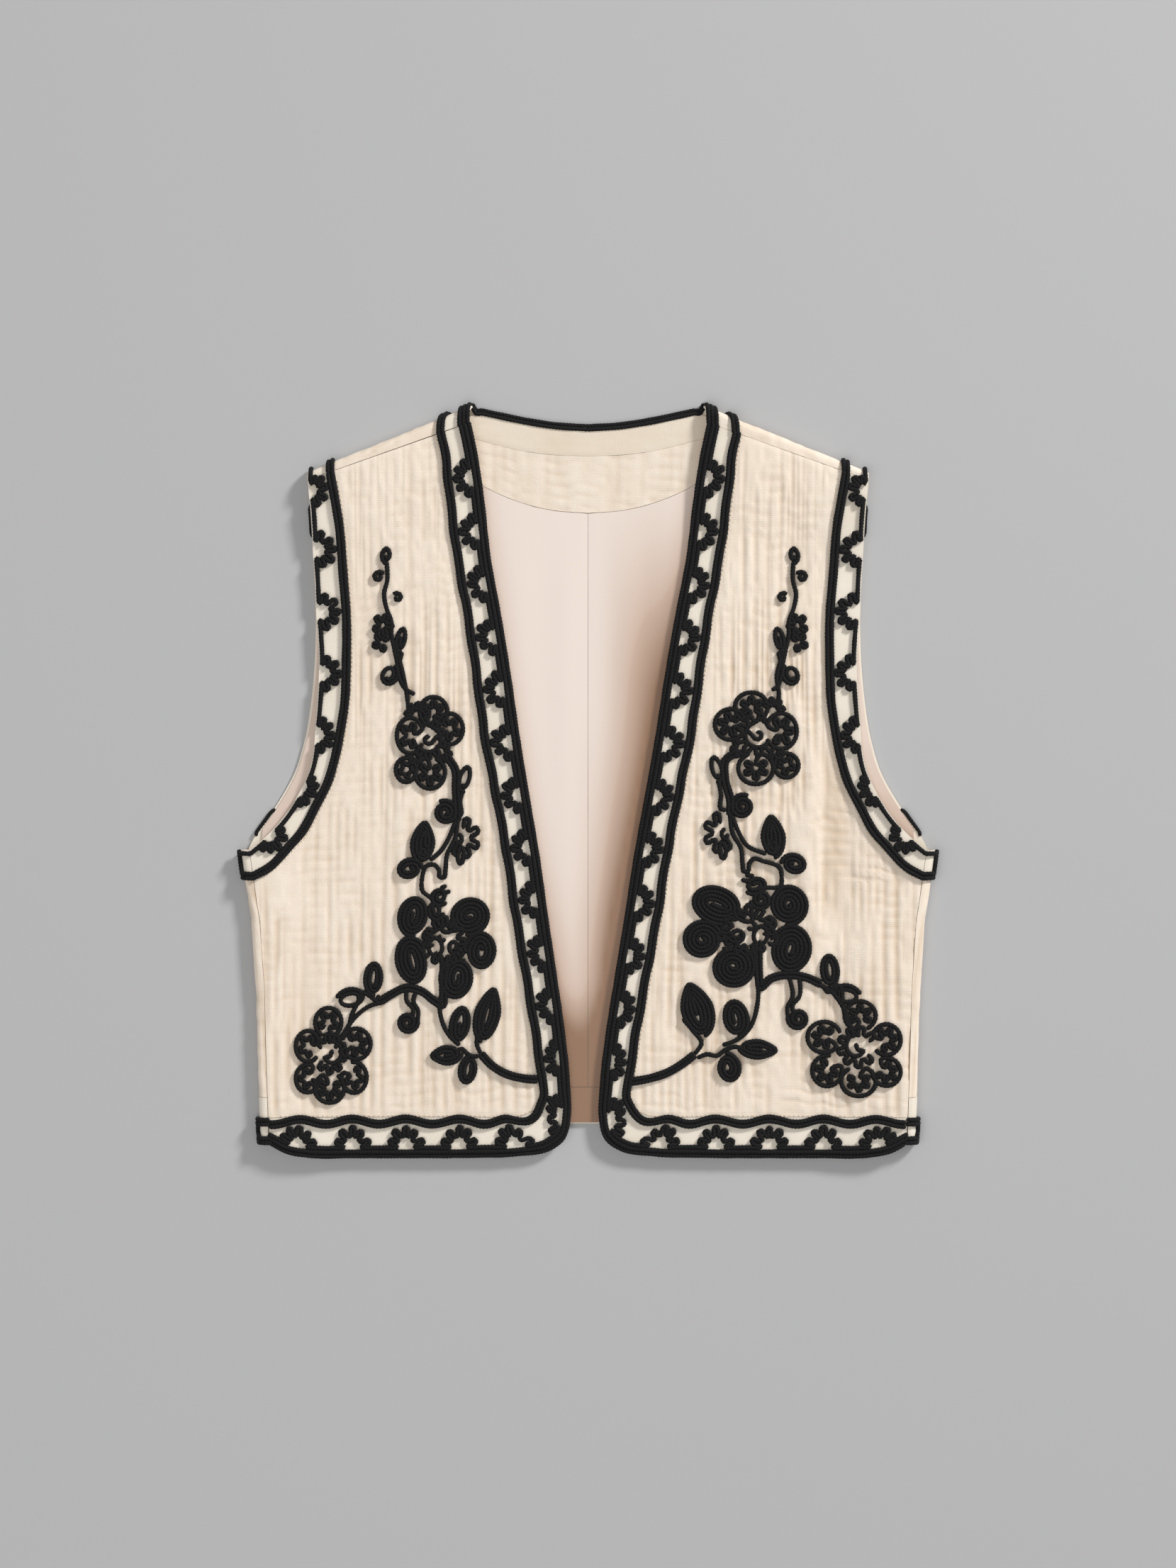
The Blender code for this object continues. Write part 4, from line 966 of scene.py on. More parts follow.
# %% [markdown]
# ## Cord
# The cord is cotton, two strands twisted round each other, a little over 3 mm across. Here it is a
# curve with a bevel profile of two soft lobes, and a tilt that grows along the curve, so that the
# lobes wind round it. Each length is laid on the cloth: its points follow the cloth's surface.
# The ends are drawn in, the curve becomes a mesh, and its doubled points are merged.

# %% Twisted cord
TWIST_PITCH = 4.4       # one full turn of the strands
CORD_STEP = 0.7         # from ring to ring
CORD_FULL = 1.66        # radius over the strands, which sink into each other where cords lie close
LOBE = 0.09             # how far the strands stand out
CORD_SINK = 0.3         # how deep a cord lies in the cloth
CORD_ENDS = (0.55, 0.88)        # size of its last two rings, which draws the ends in
OVERRUN = 1.4           # how far a cord on a band runs past the ends of its path


def cord_profile(radius):
    """The outline of two strands lying together, as a closed flat curve."""
    data = bpy.data.curves.new("Cord profile", "CURVE")
    data.dimensions = "2D"
    line = data.splines.new("POLY")
    line.points.add(7)
    for k, point in enumerate(line.points):
        turn = 2 * math.pi * (k + 0.5) / 8
        reach = radius * (1 - LOBE * 0.5 + LOBE * math.cos(2 * turn)) * MM
        point.co = (reach * math.cos(turn), reach * math.sin(turn), 0, 1)
    line.use_cyclic_u = True
    made = bpy.data.objects.new("Cord profile", data)
    bpy.context.scene.collection.objects.link(made)
    return made


def rounded(points, step):
    """Points on a smooth curve through the given ones, evenly spaced."""
    points = [tuple(float(v) for v in p) for p in points]
    kept = [points[0]] + [b for a, b in zip(points, points[1:]) if gap_between(a, b) > 0.05]
    fine = np.array(smooth(kept, step * 0.7)) if len(kept) > 2 else np.array(kept)
    run = lengths(fine)
    if len(points[0]) == 3:
        run = np.concatenate([[0], np.cumsum(np.linalg.norm(np.diff(fine, axis=0), axis=1))])
        at = np.linspace(0, run[-1], max(4, int(round(run[-1] / step)) + 1))
        return np.stack([np.interp(at, run, fine[:, k]) for k in range(3)], 1)
    return resample(fine, max(4, int(round(run[-1] / step)) + 1))


def lengthened(path, reach):
    """The path with both its ends carried on straight by reach."""
    if not reach:
        return path
    path = np.asarray(path, float)
    first, last = path[0] - path[1], path[-1] - path[-2]
    return np.concatenate([[path[0] + first * reach / np.linalg.norm(first)], path,
                           [path[-1] + last * reach / np.linalg.norm(last)]])


def sewn_cord(name, paths, height_at, nodes=(), radius=CORD_FULL, wraps=False, reach=0.0,
              seed=0):
    """Cords along paths, in mm, joined as one piece. Flat paths are laid on the cloth."""
    profile = cord_profile(radius)
    data = bpy.data.curves.new(name, "CURVE")
    data.dimensions, data.twist_mode = "3D", "MINIMUM" if wraps else "Z_UP"
    data.bevel_mode, data.bevel_object, data.use_fill_caps = "OBJECT", profile, True
    chance = np.random.RandomState(100 + seed)
    for path in paths:
        flat = rounded(lengthened(path, reach), CORD_STEP)
        x, y = flat[:, 0], flat[:, 1]
        z = (height_at(x, y) + radius - CORD_SINK) if flat.shape[1] == 2 else flat[:, 2]
        steps = np.linalg.norm(np.diff(np.stack([x, y, z], 1), axis=0), axis=1)
        run = np.concatenate([[0.0], np.cumsum(steps)])
        twist = chance.uniform(0, math.pi) + 2 * math.pi * run / TWIST_PITCH
        twist += 0.35 * np.sin(run / 7.0 + chance.uniform(0, 6))
        thick = 1 + 0.035 * np.sin(run / 3.1 + chance.uniform(0, 6))
        thick[[0, -1]] *= CORD_ENDS[0]
        thick[[1, -2]] *= CORD_ENDS[1]
        line = data.splines.new("POLY")
        line.points.add(len(x) - 1)
        places = np.stack([x * MM, y * MM, z * MM, np.ones_like(x)], 1)
        line.points.foreach_set("co", places.ravel())
        line.points.foreach_set("tilt", twist)
        line.points.foreach_set("radius", thick)
    piece = bpy.data.objects.new(name, data)
    bpy.context.scene.collection.objects.link(piece)
    only(piece)
    bpy.ops.object.convert(target="MESH")
    piece = bpy.context.object
    piece.name = piece.data.name = name
    bpy.ops.object.mode_set(mode="EDIT")
    bpy.ops.mesh.select_all(action="SELECT")
    bpy.ops.mesh.remove_doubles(threshold=0.000004)
    bpy.ops.mesh.normals_make_consistent(inside=False)
    bpy.ops.object.mode_set(mode="OBJECT")
    bpy.ops.object.shade_smooth_by_angle(angle=math.radians(75))
    piece.data.materials.clear()
    piece.data.materials.append(CORD_BLACK)
    bpy.data.objects.remove(profile)
    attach(piece, "root")
    if nodes:
        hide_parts(*nodes)
    total = sum(lengths(np.asarray(p, float))[-1] for p in paths)
    print(f"{name}: {len(paths)} lengths, {total:.0f} mm, {len(piece.data.polygons)} faces")


def on_front(x, y):
    """Height of a front's face under the cord, where x already leans."""
    return front_height(np.sign(x) * np.maximum(abs(x), 1), y)

# %% [markdown]
# ## Cord on the bands
# Two cords run along the front edge and the hem. Beside them runs a third that leaves them at
# regular steps and is laid in a small looped arch, five loops round a patch of bare cloth, then
# comes back. Two more cords cover the seam between band and panel. The armhole band has the same
# arches, open towards its edge. A place on a band is given by the run along it and by the distance
# in from its edge, so one arch drawn once can be laid all round.

# %% Places on a band
PITCH_FRONT = 36.2      # from arch to arch on the front band, about
PITCH_ARM = 42.0        # and on the armhole band
FRONT_ENDS = (34.0, 20.0)       # from the band's two ends to the middle of its next arch
ARM_ENDS = (22.0, 8.5)
ARM_MARGIN = 1.4        # from the armhole's edge to the cord
EDGE_CORDS = 5.0        # strip at the front's edge that its two edge cords take
EDGE_ROWS = (1.0, 3.9)  # where they lie, in from the edge
SEAM_ROWS = (1.5, 4.5)  # where the seam cords lie, in from the start of the rail
HEM_WAVE = 1.7          # how far the seam cords swing in and out along the hem
HEM_LENGTH = 215.0      # of the band that is hem, from its end
ARCH_TALL = 14.6
LOOPS = 5
LOOP_IN, LOOP_OUT = 5.9, 11.8      # radii of an arch's cord, at the inside and out on its loops


class Band:
    """Places on a band by the run along its middle and the distance in from its edge."""

    def __init__(self, side, table_rows):
        rows = np.array(smooth(table_rows, 3.0))
        rows[:, 0] = lean(side * rows[:, 0], rows[:, 1])
        rows[:, 2] = lean(side * rows[:, 2], rows[:, 3])
        self.rows = rows
        self.run = lengths((rows[:, :2] + rows[:, 2:]) / 2)
        self.total = self.run[-1]

    def rung(self, s):
        return np.stack([np.interp(s, self.run, self.rows[:, k]) for k in range(4)], -1)

    def width(self, s):
        r = self.rung(s)
        return np.hypot(r[..., 0] - r[..., 2], r[..., 1] - r[..., 3])

    def place(self, s, h):
        r, share = self.rung(s), np.asarray(h / self.width(s))[..., None]
        return r[..., :2] + (r[..., 2:] - r[..., :2]) * share


def centres_of(total, pitch, first, last):
    count = int(round((total - first - last) / pitch)) + 1
    return np.linspace(first, total - last, count), (total - first - last) / (count - 1)


def looped_arch(band, middle, base, chance):
    """One arch of loops whose feet stand at base, drawn along the band."""
    count = 121
    turn = np.linspace(0, math.pi, count)
    tooth, middle_reach = (LOOP_OUT - LOOP_IN) / 2, (LOOP_OUT + LOOP_IN) / 2
    wave = np.cos(2 * LOOPS * turn)
    wave = np.tanh(3.2 * wave) / np.tanh(3.2)
    reach = middle_reach - tooth * wave
    reach = reach * (1 + 0.03 * np.sin(3 * turn + chance.uniform(0, 6)))
    s = middle - reach * np.cos(turn) + 0.4 * np.sin(5 * turn + chance.uniform(0, 6))
    tall = min(ARCH_TALL, float(band.width(middle)) - RAIL - base - 0.9)
    h = base + (tall - tooth + reach - middle_reach) * np.sin(turn)
    return s, h


def arch_path(band, centres, base, start, end, chance):
    """The cord that runs beside the edge and loops into each arch."""
    s_all, h_all = [start, start + 3], [base, base]
    foot_s = np.array([LOOP_OUT + 3.5, LOOP_IN + 3.0, LOOP_IN + 0.6])
    foot_h = [base, base - 0.1, base - 0.1]
    for middle in centres:
        s, h = looped_arch(band, middle, base, chance)
        s_all += [*(middle - foot_s), *s[2:-2], *(middle + foot_s[::-1])]
        h_all += [*foot_h, *h[2:-2], *foot_h[::-1]]
    s_all += [end - 3, end]
    h_all += [base, base]
    return band.place(np.array(s_all, float), np.array(h_all, float))


# %% Cord round the fronts and hems
for side, word in SIDES:
    band = Band(side, FRONT_BAND)
    chance = np.random.RandomState(7 if side < 0 else 8)
    centres, spacing = centres_of(band.total, PITCH_FRONT, *FRONT_ENDS)
    s = np.arange(0.4, band.total - 0.4, 2.0)
    hem = ease((s - band.total + HEM_LENGTH) / 30)
    swell = (HEM_WAVE * hem + 0.35 * (1 - hem)) * np.cos(2 * math.pi * (s - centres[-1]) / spacing)
    outer_edge, second = (band.place(s, np.full_like(s, row)) for row in EDGE_ROWS)
    rolled_under = on_front(outer_edge[:, 0], outer_edge[:, 1]) + CORD_RADIUS - 0.9
    outer_edge = np.concatenate([outer_edge, rolled_under[:, None]], 1)
    sewn_cord("Edge_cords_" + word, [outer_edge, second], on_front, ["edge_cord_" + word],
              reach=OVERRUN, seed=1)
    across = band.width(s) - RAIL + swell
    sewn_cord("Seam_cords_" + word, [band.place(s, across + row) for row in SEAM_ROWS],
              on_front, ["inner_rail_" + word], reach=OVERRUN, seed=2)
    path = arch_path(band, centres, EDGE_CORDS + 0.2 + CORD_RADIUS, 0.5, band.total - 0.5, chance)
    sewn_cord("Arch_cord_" + word, [path], on_front, ["arch_cord_" + word], reach=OVERRUN,
              seed=3)

# %% Cord round the armholes
for side, word in SIDES:
    band = Band(side, FRONT_ARMHOLE)
    chance = np.random.RandomState(17 if side < 0 else 18)
    centres = centres_of(band.total, PITCH_ARM, *ARM_ENDS)[0]
    s = np.arange(0.4, band.total - 0.4, 2.0)
    across = band.width(s) - RAIL + 0.3 * np.sin(s / 9)
    sewn_cord("Armhole_seam_cords_" + word, [band.place(s, across + row) for row in SEAM_ROWS],
              on_front, ["armhole_rail_" + word], reach=OVERRUN, seed=4)
    path = arch_path(band, centres, ARM_MARGIN + CORD_RADIUS - 0.5, 1.0, band.total - 1.0, chance)
    sewn_cord("Armhole_arch_cord_" + word, [path], on_front, ["armhole_arch_cord_" + word],
              reach=1.6, seed=5)

# %% [markdown]
# ## Sewn flowers
# The sprays are drawn with the same cord, wound into petals from the outline inwards, looped into
# frilled petals, or laid singly and in pairs as stems. A few generators make the ordinary shapes
# and short tables place them. Places are given in mm: out from the centre line, and up from the
# middle of the waistcoat. The two fronts carry the same spray, mirrored and placed a little apart.

# %% Shapes that cord is laid in
LAY = 2.75              # from one turn of laid cord to the next


def rotated(points, degrees, at):
    """Points turned about the origin and moved to a place."""
    c, s = math.cos(math.radians(degrees)), math.sin(math.radians(degrees))
    return [(at[0] + c * x - s * y, at[1] + s * x + c * y) for x, y in points]


def offsets(place, *steps):
    """Points that lie the given steps out and up from a place."""
    return [(place[0] + u, place[1] + v) for u, v in steps]


def squeezed(points, m, wide):
    """Points drawn in towards the upright line through m."""
    return [(m[0] + wide * (x - m[0]), y) for x, y in points]


def wound(at, wide, tall, tip=0.0, tilt=0, start=-90, way=1, inner=0.75):
    """Cord wound inwards in an oval whose top is drawn to a tip. Sizes are the outer half sizes."""
    points, angle = [], 0.0
    small = min(wide, tall)
    while True:
        r = small - CORD_RADIUS - LAY * angle / (2 * math.pi)
        if r < inner:
            break
        rx, ry = r + wide - small, r + tall - small
        a = math.radians(start) + way * angle
        narrow = 1 - tip * max(0.0, math.sin(a)) ** 1.5
        points.append((rx * math.cos(a) * narrow, ry * math.sin(a)))
        angle += min(0.2, 0.6 / max(rx, ry) + 0.04)
    return rotated(points, tilt, at)


def square_wave(turn, soft=3.0):
    return math.tanh(soft * math.cos(turn)) / math.tanh(soft)


def frill(at, outer, inner, first, last, teeth, flat=1.0, tilt=0):
    """Cord looped in and out along an arc, between two radii of its middle line."""
    points, count = [], 24 * teeth
    for k in range(count + 1):
        share = k / count
        a = math.radians(first + (last - first) * share)
        reach = (outer + inner) / 2 - (outer - inner) / 2 * square_wave(2 * math.pi * teeth * share)
        points.append((reach * math.cos(a), flat * reach * math.sin(a)))
    return rotated(points, tilt, at)


def arc(at, wide, tall, first, last, tilt=0):
    count = max(4, int(abs(last - first) / 9))
    turns = [math.radians(first + (last - first) * k / count) for k in range(count + 1)]
    return rotated([(wide * math.cos(a), tall * math.sin(a)) for a in turns], tilt, at)


def frilled_petal(at, wide, tall, facing, opening, teeth, star=2.7):
    """A petal of one cord: round its outline, then looped back inside it round a bare star."""
    wide, tall = wide - CORD_RADIUS, tall - CORD_RADIUS
    outline = arc(at, wide, tall, facing + opening / 2, facing + 360 - opening / 2)
    inside = min(wide, tall) - LAY + 0.15
    teeth = teeth or int(round((360 - opening) / 360 * math.pi * (inside + star) / (2 * LAY)))
    back = frill(at, inside, star, facing + 356 - opening / 2, facing + 6 + opening / 2, teeth,
                 tall / wide)
    return outline + back


def leaf(at, wide, tall, tilt, slit=0.0):
    """A leaf of turns nested in one another, with a slit left bare below its tip."""
    points = wound((0, 0), wide, tall, 0.5, 0, -90, 1, 0.5)
    lift = [(x, y + slit * max(0.0, y / tall) * (1 - math.hypot(x / wide, y / tall)))
            for x, y in points]
    return rotated(lift, tilt, at)


def beside(points, gap):
    """A second line that runs beside a line of points, on its left where gap is positive."""
    line = np.array(smooth([tuple(map(float, p)) for p in points], 2.0))
    along = np.gradient(line, axis=0)
    along /= np.linalg.norm(along, axis=1)[:, None]
    return (line + gap * np.stack([-along[:, 1], along[:, 0]], 1)).tolist()


def pair(points, gap=LAY):
    return [beside(points, gap / 2), beside(points, -gap / 2)]


# %% Where the sprays lie on each front
# Middle of each motif: out from the centre line and up. The first place is for the wearer's right
# front and the second for the left.
PLACES = {
    "top": ((134.7, 151.5), (137.5, 151.5)),
    "flower": ((107.0, 28.0), (113.8, 31.0)),
    "bud": ((82.0, 2.0), (85.5, 8.5)),
    "coil": ((95.7, -20.9), (103.3, -16.9)),
    "blossom": ((83.5, -38.0), (88.5, -34.5)),
    "leaf": ((110.0, -41.0), (123.3, -37.0)),
    "disc": ((119.5, -59.0), (137.8, -55.8)),
    "loop": ((98.0, -61.5), (106.0, -57.5)),
    "large": ((95.7, -107.4), (107.1, -99.8)),
    "curl": ((120.8, -161.5), (140.6, -159.0)),
    "upper_leaf": ((85.3, -163.0), (98.5, -158.7)),
    "tall_leaf": ((66.8, -156.5), (72.5, -153.0)),
    "leaf_out": ((95.2, -183.0), (114.0, -179.0)),
    "leaf_down": ((80.0, -193.5), (94.0, -192.0)),
    "side_bud": ((143.2, -132.0), (161.3, -126.8)),
    "side_loop": ((159.0, -145.5), (173.0, -143.0)),
    "side": ((172.7, -182.5), (180.6, -178.0)),
}
# Petals of the large flower: out and up from its middle, half width, half height, lean, where the
# cord starts, way of winding
LARGE_PETALS = [(27.0, 17.0, 14.4, 15.0, 10, 250, 1), (28.5, -13.0, 15.4, 17.5, -10, 150, -1),
                (-10.0, -24.5, 16.0, 15.6, 10, 80, -1), (-30.5, -6.5, 14.6, 14.2, 0, 10, 1),
                (-20.5, 17.0, 18.4, 14.0, -20, 300, -1)]
# Coils that fill the middle of the large flower: out, up, half width, half height, lean
LARGE_COILS = [(5.0, 30.0, 9.0, 7.6, 15), (8.5, 20.5, 8.4, 8.2, -15), (0.0, 35.5, 6.0, 4.6, 0),
               (-2.5, 10.0, 9.0, 5.8, -28), (-7.5, -3.5, 7.2, 6.6, 0), (-14.5, 3.5, 5.6, 5.0, 0),
               (15.5, 6.0, 4.6, 6.4, 30), (2.0, -12.0, 4.8, 4.6, 0), (-18.5, -3.0, 5.4, 5.8, 0),
               (17.0, -6.5, 5.0, 5.4, 0), (3.0, 3.0, 5.0, 4.4, 0), (-14.0, -10.5, 4.6, 4.4, 0)]
# Petals of the frilled flowers: out and up from the middle, half width, half height, the side on
# which the petal is open, the opening, teeth, or 0 for as many as fill it
UPPER_PETALS = [(-4.5, 18.5, 12.4, 11.4, 270, 50, 0), (-18.5, 7.0, 11.8, 11.8, 345, 50, 0),
                (15.5, 2.5, 12.0, 13.4, 180, 50, 0), (19.0, -20.5, 9.6, 9.6, 120, 20, 0),
                (-1.5, -22.5, 13.2, 12.0, 90, 40, 0)]
SIDE_PETALS = [(1.5, 21.0, 11.8, 11.2, 270, 50, 0), (-22.5, 6.5, 12.6, 11.8, 345, 60, 0),
               (19.0, 5.0, 11.0, 11.8, 190, 60, 0), (19.0, -16.5, 11.0, 10.8, 140, 60, 0),
               (0.5, -23.0, 13.0, 11.4, 90, 60, 0), (-20.5, -16.0, 11.4, 11.8, 45, 60, 0)]


# %% The sprays of one front
def upper_flower(m, wide):
    """Frilled petals round a small coil in an open ring."""
    paths = [frilled_petal((m[0] + wide * u, m[1] + v), w * (0.4 + 0.6 * wide), t, face, gap, teeth)
             for u, v, w, t, face, gap, teeth in UPPER_PETALS]
    coil = wound(m, 5.0, 5.0, 0, 0, 200, 1, 1.2)
    ring = arc(m, 8.6, 8.4, 100, 335)
    paths += [coil[::-1] + offsets(m, (-7, 3)), ring]
    paths.append(squeezed(frill(m, 14.5, 9.5, 60, 330, 7, 0.95), m, wide))
    paths.append(frill((m[0] + 10 * wide, m[1] + 17), 7.5, 2.6, -20, 170, 4))
    paths.append(frill((m[0] - 12 * wide, m[1] - 9), 6.0, 2.2, 100, 330, 4))
    paths.append(frill((m[0] + 11 * wide, m[1] - 11), 5.5, 2.2, 200, 400, 3))
    return paths


def large_flower(m, wide):
    """Wound petals round small loops, with bare stars between them."""
    petals = LARGE_PETALS + [(*coil, 200, 1) for coil in LARGE_COILS]
    paths = [wound((m[0] + wide * u, m[1] + v), w * (0.15 + 0.85 * wide), t, 0, lie, start, way)
             for u, v, w, t, lie, start, way in petals]
    loop = arc((m[0] + 8.5 * wide, m[1] - 3.5), 4.6, 6.0, -60, 270, -12)
    spoke = [(m[0] + 3 * wide, m[1] + 9), (m[0] + 11 * wide, m[1] + 6.5),
             (m[0] + 16 * wide, m[1] + 1), (m[0] + 20 * wide, m[1] - 6)]
    paths += [loop, spoke, squeezed(frill(m, 17.5, 11.0, -20, 320, 11, 0.95), m, wide)]
    return paths


def side_flower(m, wide):
    """Six frilled petals round an open middle with a curl, joined by a wavy ring."""
    paths = [frilled_petal((m[0] + wide * u, m[1] + v), w * (0.4 + 0.6 * wide), t, face, gap,
                           teeth, 3.0) for u, v, w, t, face, gap, teeth in SIDE_PETALS]
    ring = frill(m, 13.4, 9.0, 20, 330, 8, 1.0)
    curl = arc((m[0] - 1.5, m[1] + 1.0), 6.2, 7.2, 60, 330)
    return paths + [squeezed(ring, m, wide), curl + offsets(m, (0.5, -2.0), (-1.5, 2.5))]


def spray(at, wide):
    """All paths of one front's spray, by the node that each one replaces."""
    top, coil, blossom, disc, loop = at["top"], at["coil"], at["blossom"], at["disc"], at["loop"]
    large, side, flower, bud, curl = at["large"], at["side"], at["flower"], at["bud"], at["curl"]
    foot = at["leaf"]
    shift, slim = (top[0] - PLACES["top"][0][0], 0.0), 0.2 + 0.8 * wide
    branch = at["branch"][3:]
    branch_y = float(np.interp(curl[0] - 3, [p[0] for p in branch], [p[1] for p in branch]))
    paths = {
        "top_sprig": [
            wound(top, 5.6, 7.4, 0.4, 0, 250, 1, 0.5),
            wound((140.2 + shift[0], 136.8), 5.4, 5.2, 0, 0, 150, -1, 0.3),
            wound((127.8 + shift[0], 123.0), 5.0, 4.8, 0, 0, 40, 1, 0.3),
            frill((137.4 + shift[0], 104.5), 6.4, 2.2, -60, 290, 5, 1.15),
            frill((138.6 + shift[0], 93.0), 5.4, 1.8, -150, 180, 4, 1.1),
            wound((133.2 + shift[0], 71.2), 7.6, 8.8, 0, 20, 100, 1, 1.6),
            offsets(shift, (134.7, 146), (134.5, 134), (136.5, 126), (135, 116), (132, 108),
                    (131.5, 97), (129.5, 88), (127.6, 78), (126.5, 70), (122.5, 62))
            + offsets(flower, (9, 30)),
            offsets(shift, (128.5, 90), (126, 80), (123.5, 70))
            + offsets(flower, (14, 28), (13, 17))],
        "sprig_bud": [wound((124.7 + shift[0], 95.0), 5.8, 10.2, 0.3, 8, 250, 1, 0.5),
                      offsets(shift, (124.5, 86.5), (125.6, 82), (126.8, 78))],
        "upper_flower": upper_flower(flower, wide),
        "middle_bud": [wound(bud, 6.2, 10.6, 0.2, 12, 250, 1, 1.4),
                       offsets(bud, (2, -9)) + [(bud[0] + 3.5, coil[1] + 8),
                                                (bud[0] + 4, coil[1] - 2)]
                       + offsets(blossom, (4, 15))],
        "middle_stem": pair(offsets(flower, (-12, -11)) + offsets(bud, (7, 6), (6.5, -8))
                            + offsets(coil, (-8, 4), (-8, -6))) + [
            wound(coil, 9.6, 9.6, 0, 0, 60, 1),
            offsets(coil, (-7, -6), (-3, -16), (3, -26)) + offsets(foot, (-4, -12)),
            offsets(coil, (-8.5, -4), (-6.5, -18))
            + offsets(loop, (-3.5, 12), (-2.5, 2), (-1.5, -3.2), (1.5, -2.6), (1.8, 1.6),
                      (5, 5.5), (11, 4)) + offsets(disc, (-9, -3), (-8, -9)),
            [(2 * blossom[0] - u, v) for u, v in frill(blossom, 10.6, 5.2, 100, -150, 5, 1.25)],
            wound((blossom[0] + 3.5, blossom[1] - 1.5), 4.6, 5.4, 0, 0, 90),
            arc((blossom[0] + 2.0, blossom[1] - 12), 1.9, 5.4, 120, -200)],
        "middle_leaf": [leaf(foot, 9.8, 15.8, 4, 2.5),
                        wound(disc, 10.0, 8.6, 0, -10, 190, -1),
                        wound((foot[0] + 0.5, foot[1] - 7.0), 6.0, 7.0, 0, 0, 90, 1)],
        "large_flower": large_flower(large, wide) + [
            offsets(disc, (-8, -8), (-8.5, -14)) + offsets(large, (8, 27), (9, 20))],
        "main_stem": pair(at["main_stem"]) + [at["to_leaf"]],
        "side_branch": [at["down"], *pair(at["branch"]), at["into_flower"]],
        "curl": [wound(curl, 8.6, 8.6, 0, 0, 160, 1),
                 offsets(curl, (-6.8, 1), (-7, 8), (-4, 13.5)) + [(curl[0] - 6, branch_y)],
                 offsets(curl, (-3.4, 4), (-3.6, 9), (0.5, 14)) + [(curl[0] + 1, branch_y)]],
        "upper_leaf": [wound(at["upper_leaf"], 10.4 * slim, 14.0, 0.05, 8, 270, 1)],
        "tall_leaf": [leaf(at["tall_leaf"], 12.6 * slim, 20.0, 16 * wide, 2.5)],
        "lower_leaves": [leaf(at["leaf_out"], 8.4, 14.5 * slim, -96, 1.5),
                         wound(at["leaf_down"], 9.6 * slim, 11.4, 0.15, 14, 90, -1),
                         at["leaf_link"]],
        "side_buds": [wound(at["side_bud"], 8.2, 12.8, 0.05, 2, 260, 1),
                      wound(at["side_loop"], 11.0, 8.2, 0, -14, 20, 1, 2.4),
                      at["bud_link"]],
        "side_flower": side_flower(side, wide),
    }
    return paths


# %% Stems and links of each front
ROUTES = (
    {"main_stem": [(33.5, -200), (43, -199.2), (54, -196.5), (64, -190.8), (72, -182.5)],
     "to_leaf": [(72, -182.5), (74.6, -175), (72.5, -169), (68.5, -165)],
     "down": [(94, -118), (95.5, -136), (99.5, -149), (98.5, -158), (94, -169), (86, -177)],
     "branch": [(96.6, -120), (97, -138), (98, -150), (103, -147), (112, -140.5), (122, -138.5),
                (132, -143), (140, -148)],
     "into_flower": [(138, -148), (147, -151), (156, -158), (163, -168), (169.5, -179)],
     "leaf_link": [(72.5, -184), (77, -184.5), (81, -182.5), (84.5, -179.5), (88, -180.5)],
     "bud_link": [(140, -143), (141.5, -147), (146, -144), (150, -141.5), (155, -150),
                  (158, -156), (161, -166), (165, -171)]},
    {"main_stem": [(28.5, -201.5), (42, -199), (52, -195.8), (63, -189.5), (71.5, -183)],
     "to_leaf": [(71.5, -183), (76, -175.5), (70, -167), (63.5, -159)],
     "down": [(111, -112), (112.5, -128), (114, -140), (113, -152), (108.5, -165), (100, -173),
              (90, -177)],
     "branch": [(114, -108), (114.5, -130), (115.5, -138), (122, -132.5), (134, -129.8),
                (146, -131.5), (156, -136)],
     "into_flower": [(154, -136), (163, -141), (170, -150), (175, -162), (178, -172)],
     "leaf_link": [(73, -185.5), (80, -183), (86, -184), (92, -180), (99, -178), (106, -180)],
     "bud_link": [(158, -138), (160.5, -141.5), (164, -138.5), (168, -137), (170.5, -148),
                  (172, -157), (174, -164)]})
WIDTHS = {-1: 0.78, 1: 1.0}     # share of their width that a front's motifs keep
for side, word in SIDES:
    pick = 0 if side < 0 else 1
    at = {key: places[pick] for key, places in PLACES.items()}
    at.update(ROUTES[pick])
    for order, (node, paths) in enumerate(spray(at, WIDTHS[side]).items()):
        mirrored = [[(side * u, v) for u, v in path] for path in paths]
        sewn_cord(node.capitalize() + "_" + word, mirrored, on_front, [f"{node}_{word}"],
                  seed=20 + order)

# %% [markdown]
# ## Cord that comes over the folds
# The back carries the same bands on its outer side. Where it turns over at the shoulders and at the
# sides, the last few centimetres of its cords come round the fold with it, up to the seams. The
# rest lies under the waistcoat. Along the neck and the armholes its edge cords look out as a rim.

# %% Cord round the folds
CORD_OUT = 1.2          # how far a cord's middle stands off the back's outer face
SEEN_TURN = 0.24        # share of the half turn from which cord is laid
HEM_Y = -236            # where the hem's cords come round the side fold


def over_fold(x, y):
    """Places of cord on the back's outer face, from places on the flat cloth."""
    points = np.stack(rolled(np.asarray(x, float), np.asarray(y, float), -CORD_OUT), 1)
    points[:, 2] = np.maximum(points[:, 2], CORD_FULL + 0.1)
    return points


def band_run(rungs, h_values):
    """Cords at distances from a band's edge; negative ones count from its rail."""
    rows = np.array(rungs, float)
    width = np.hypot(rows[:, 0] - rows[:, 2], rows[:, 1] - rows[:, 3])
    out = []
    for h in h_values:
        share = (h / width if h > 0 else 1 + h / width)[:, None]
        out.append(over_fold(*(rows[:, :2] * (1 - share) + rows[:, 2:] * share).T))
    return out


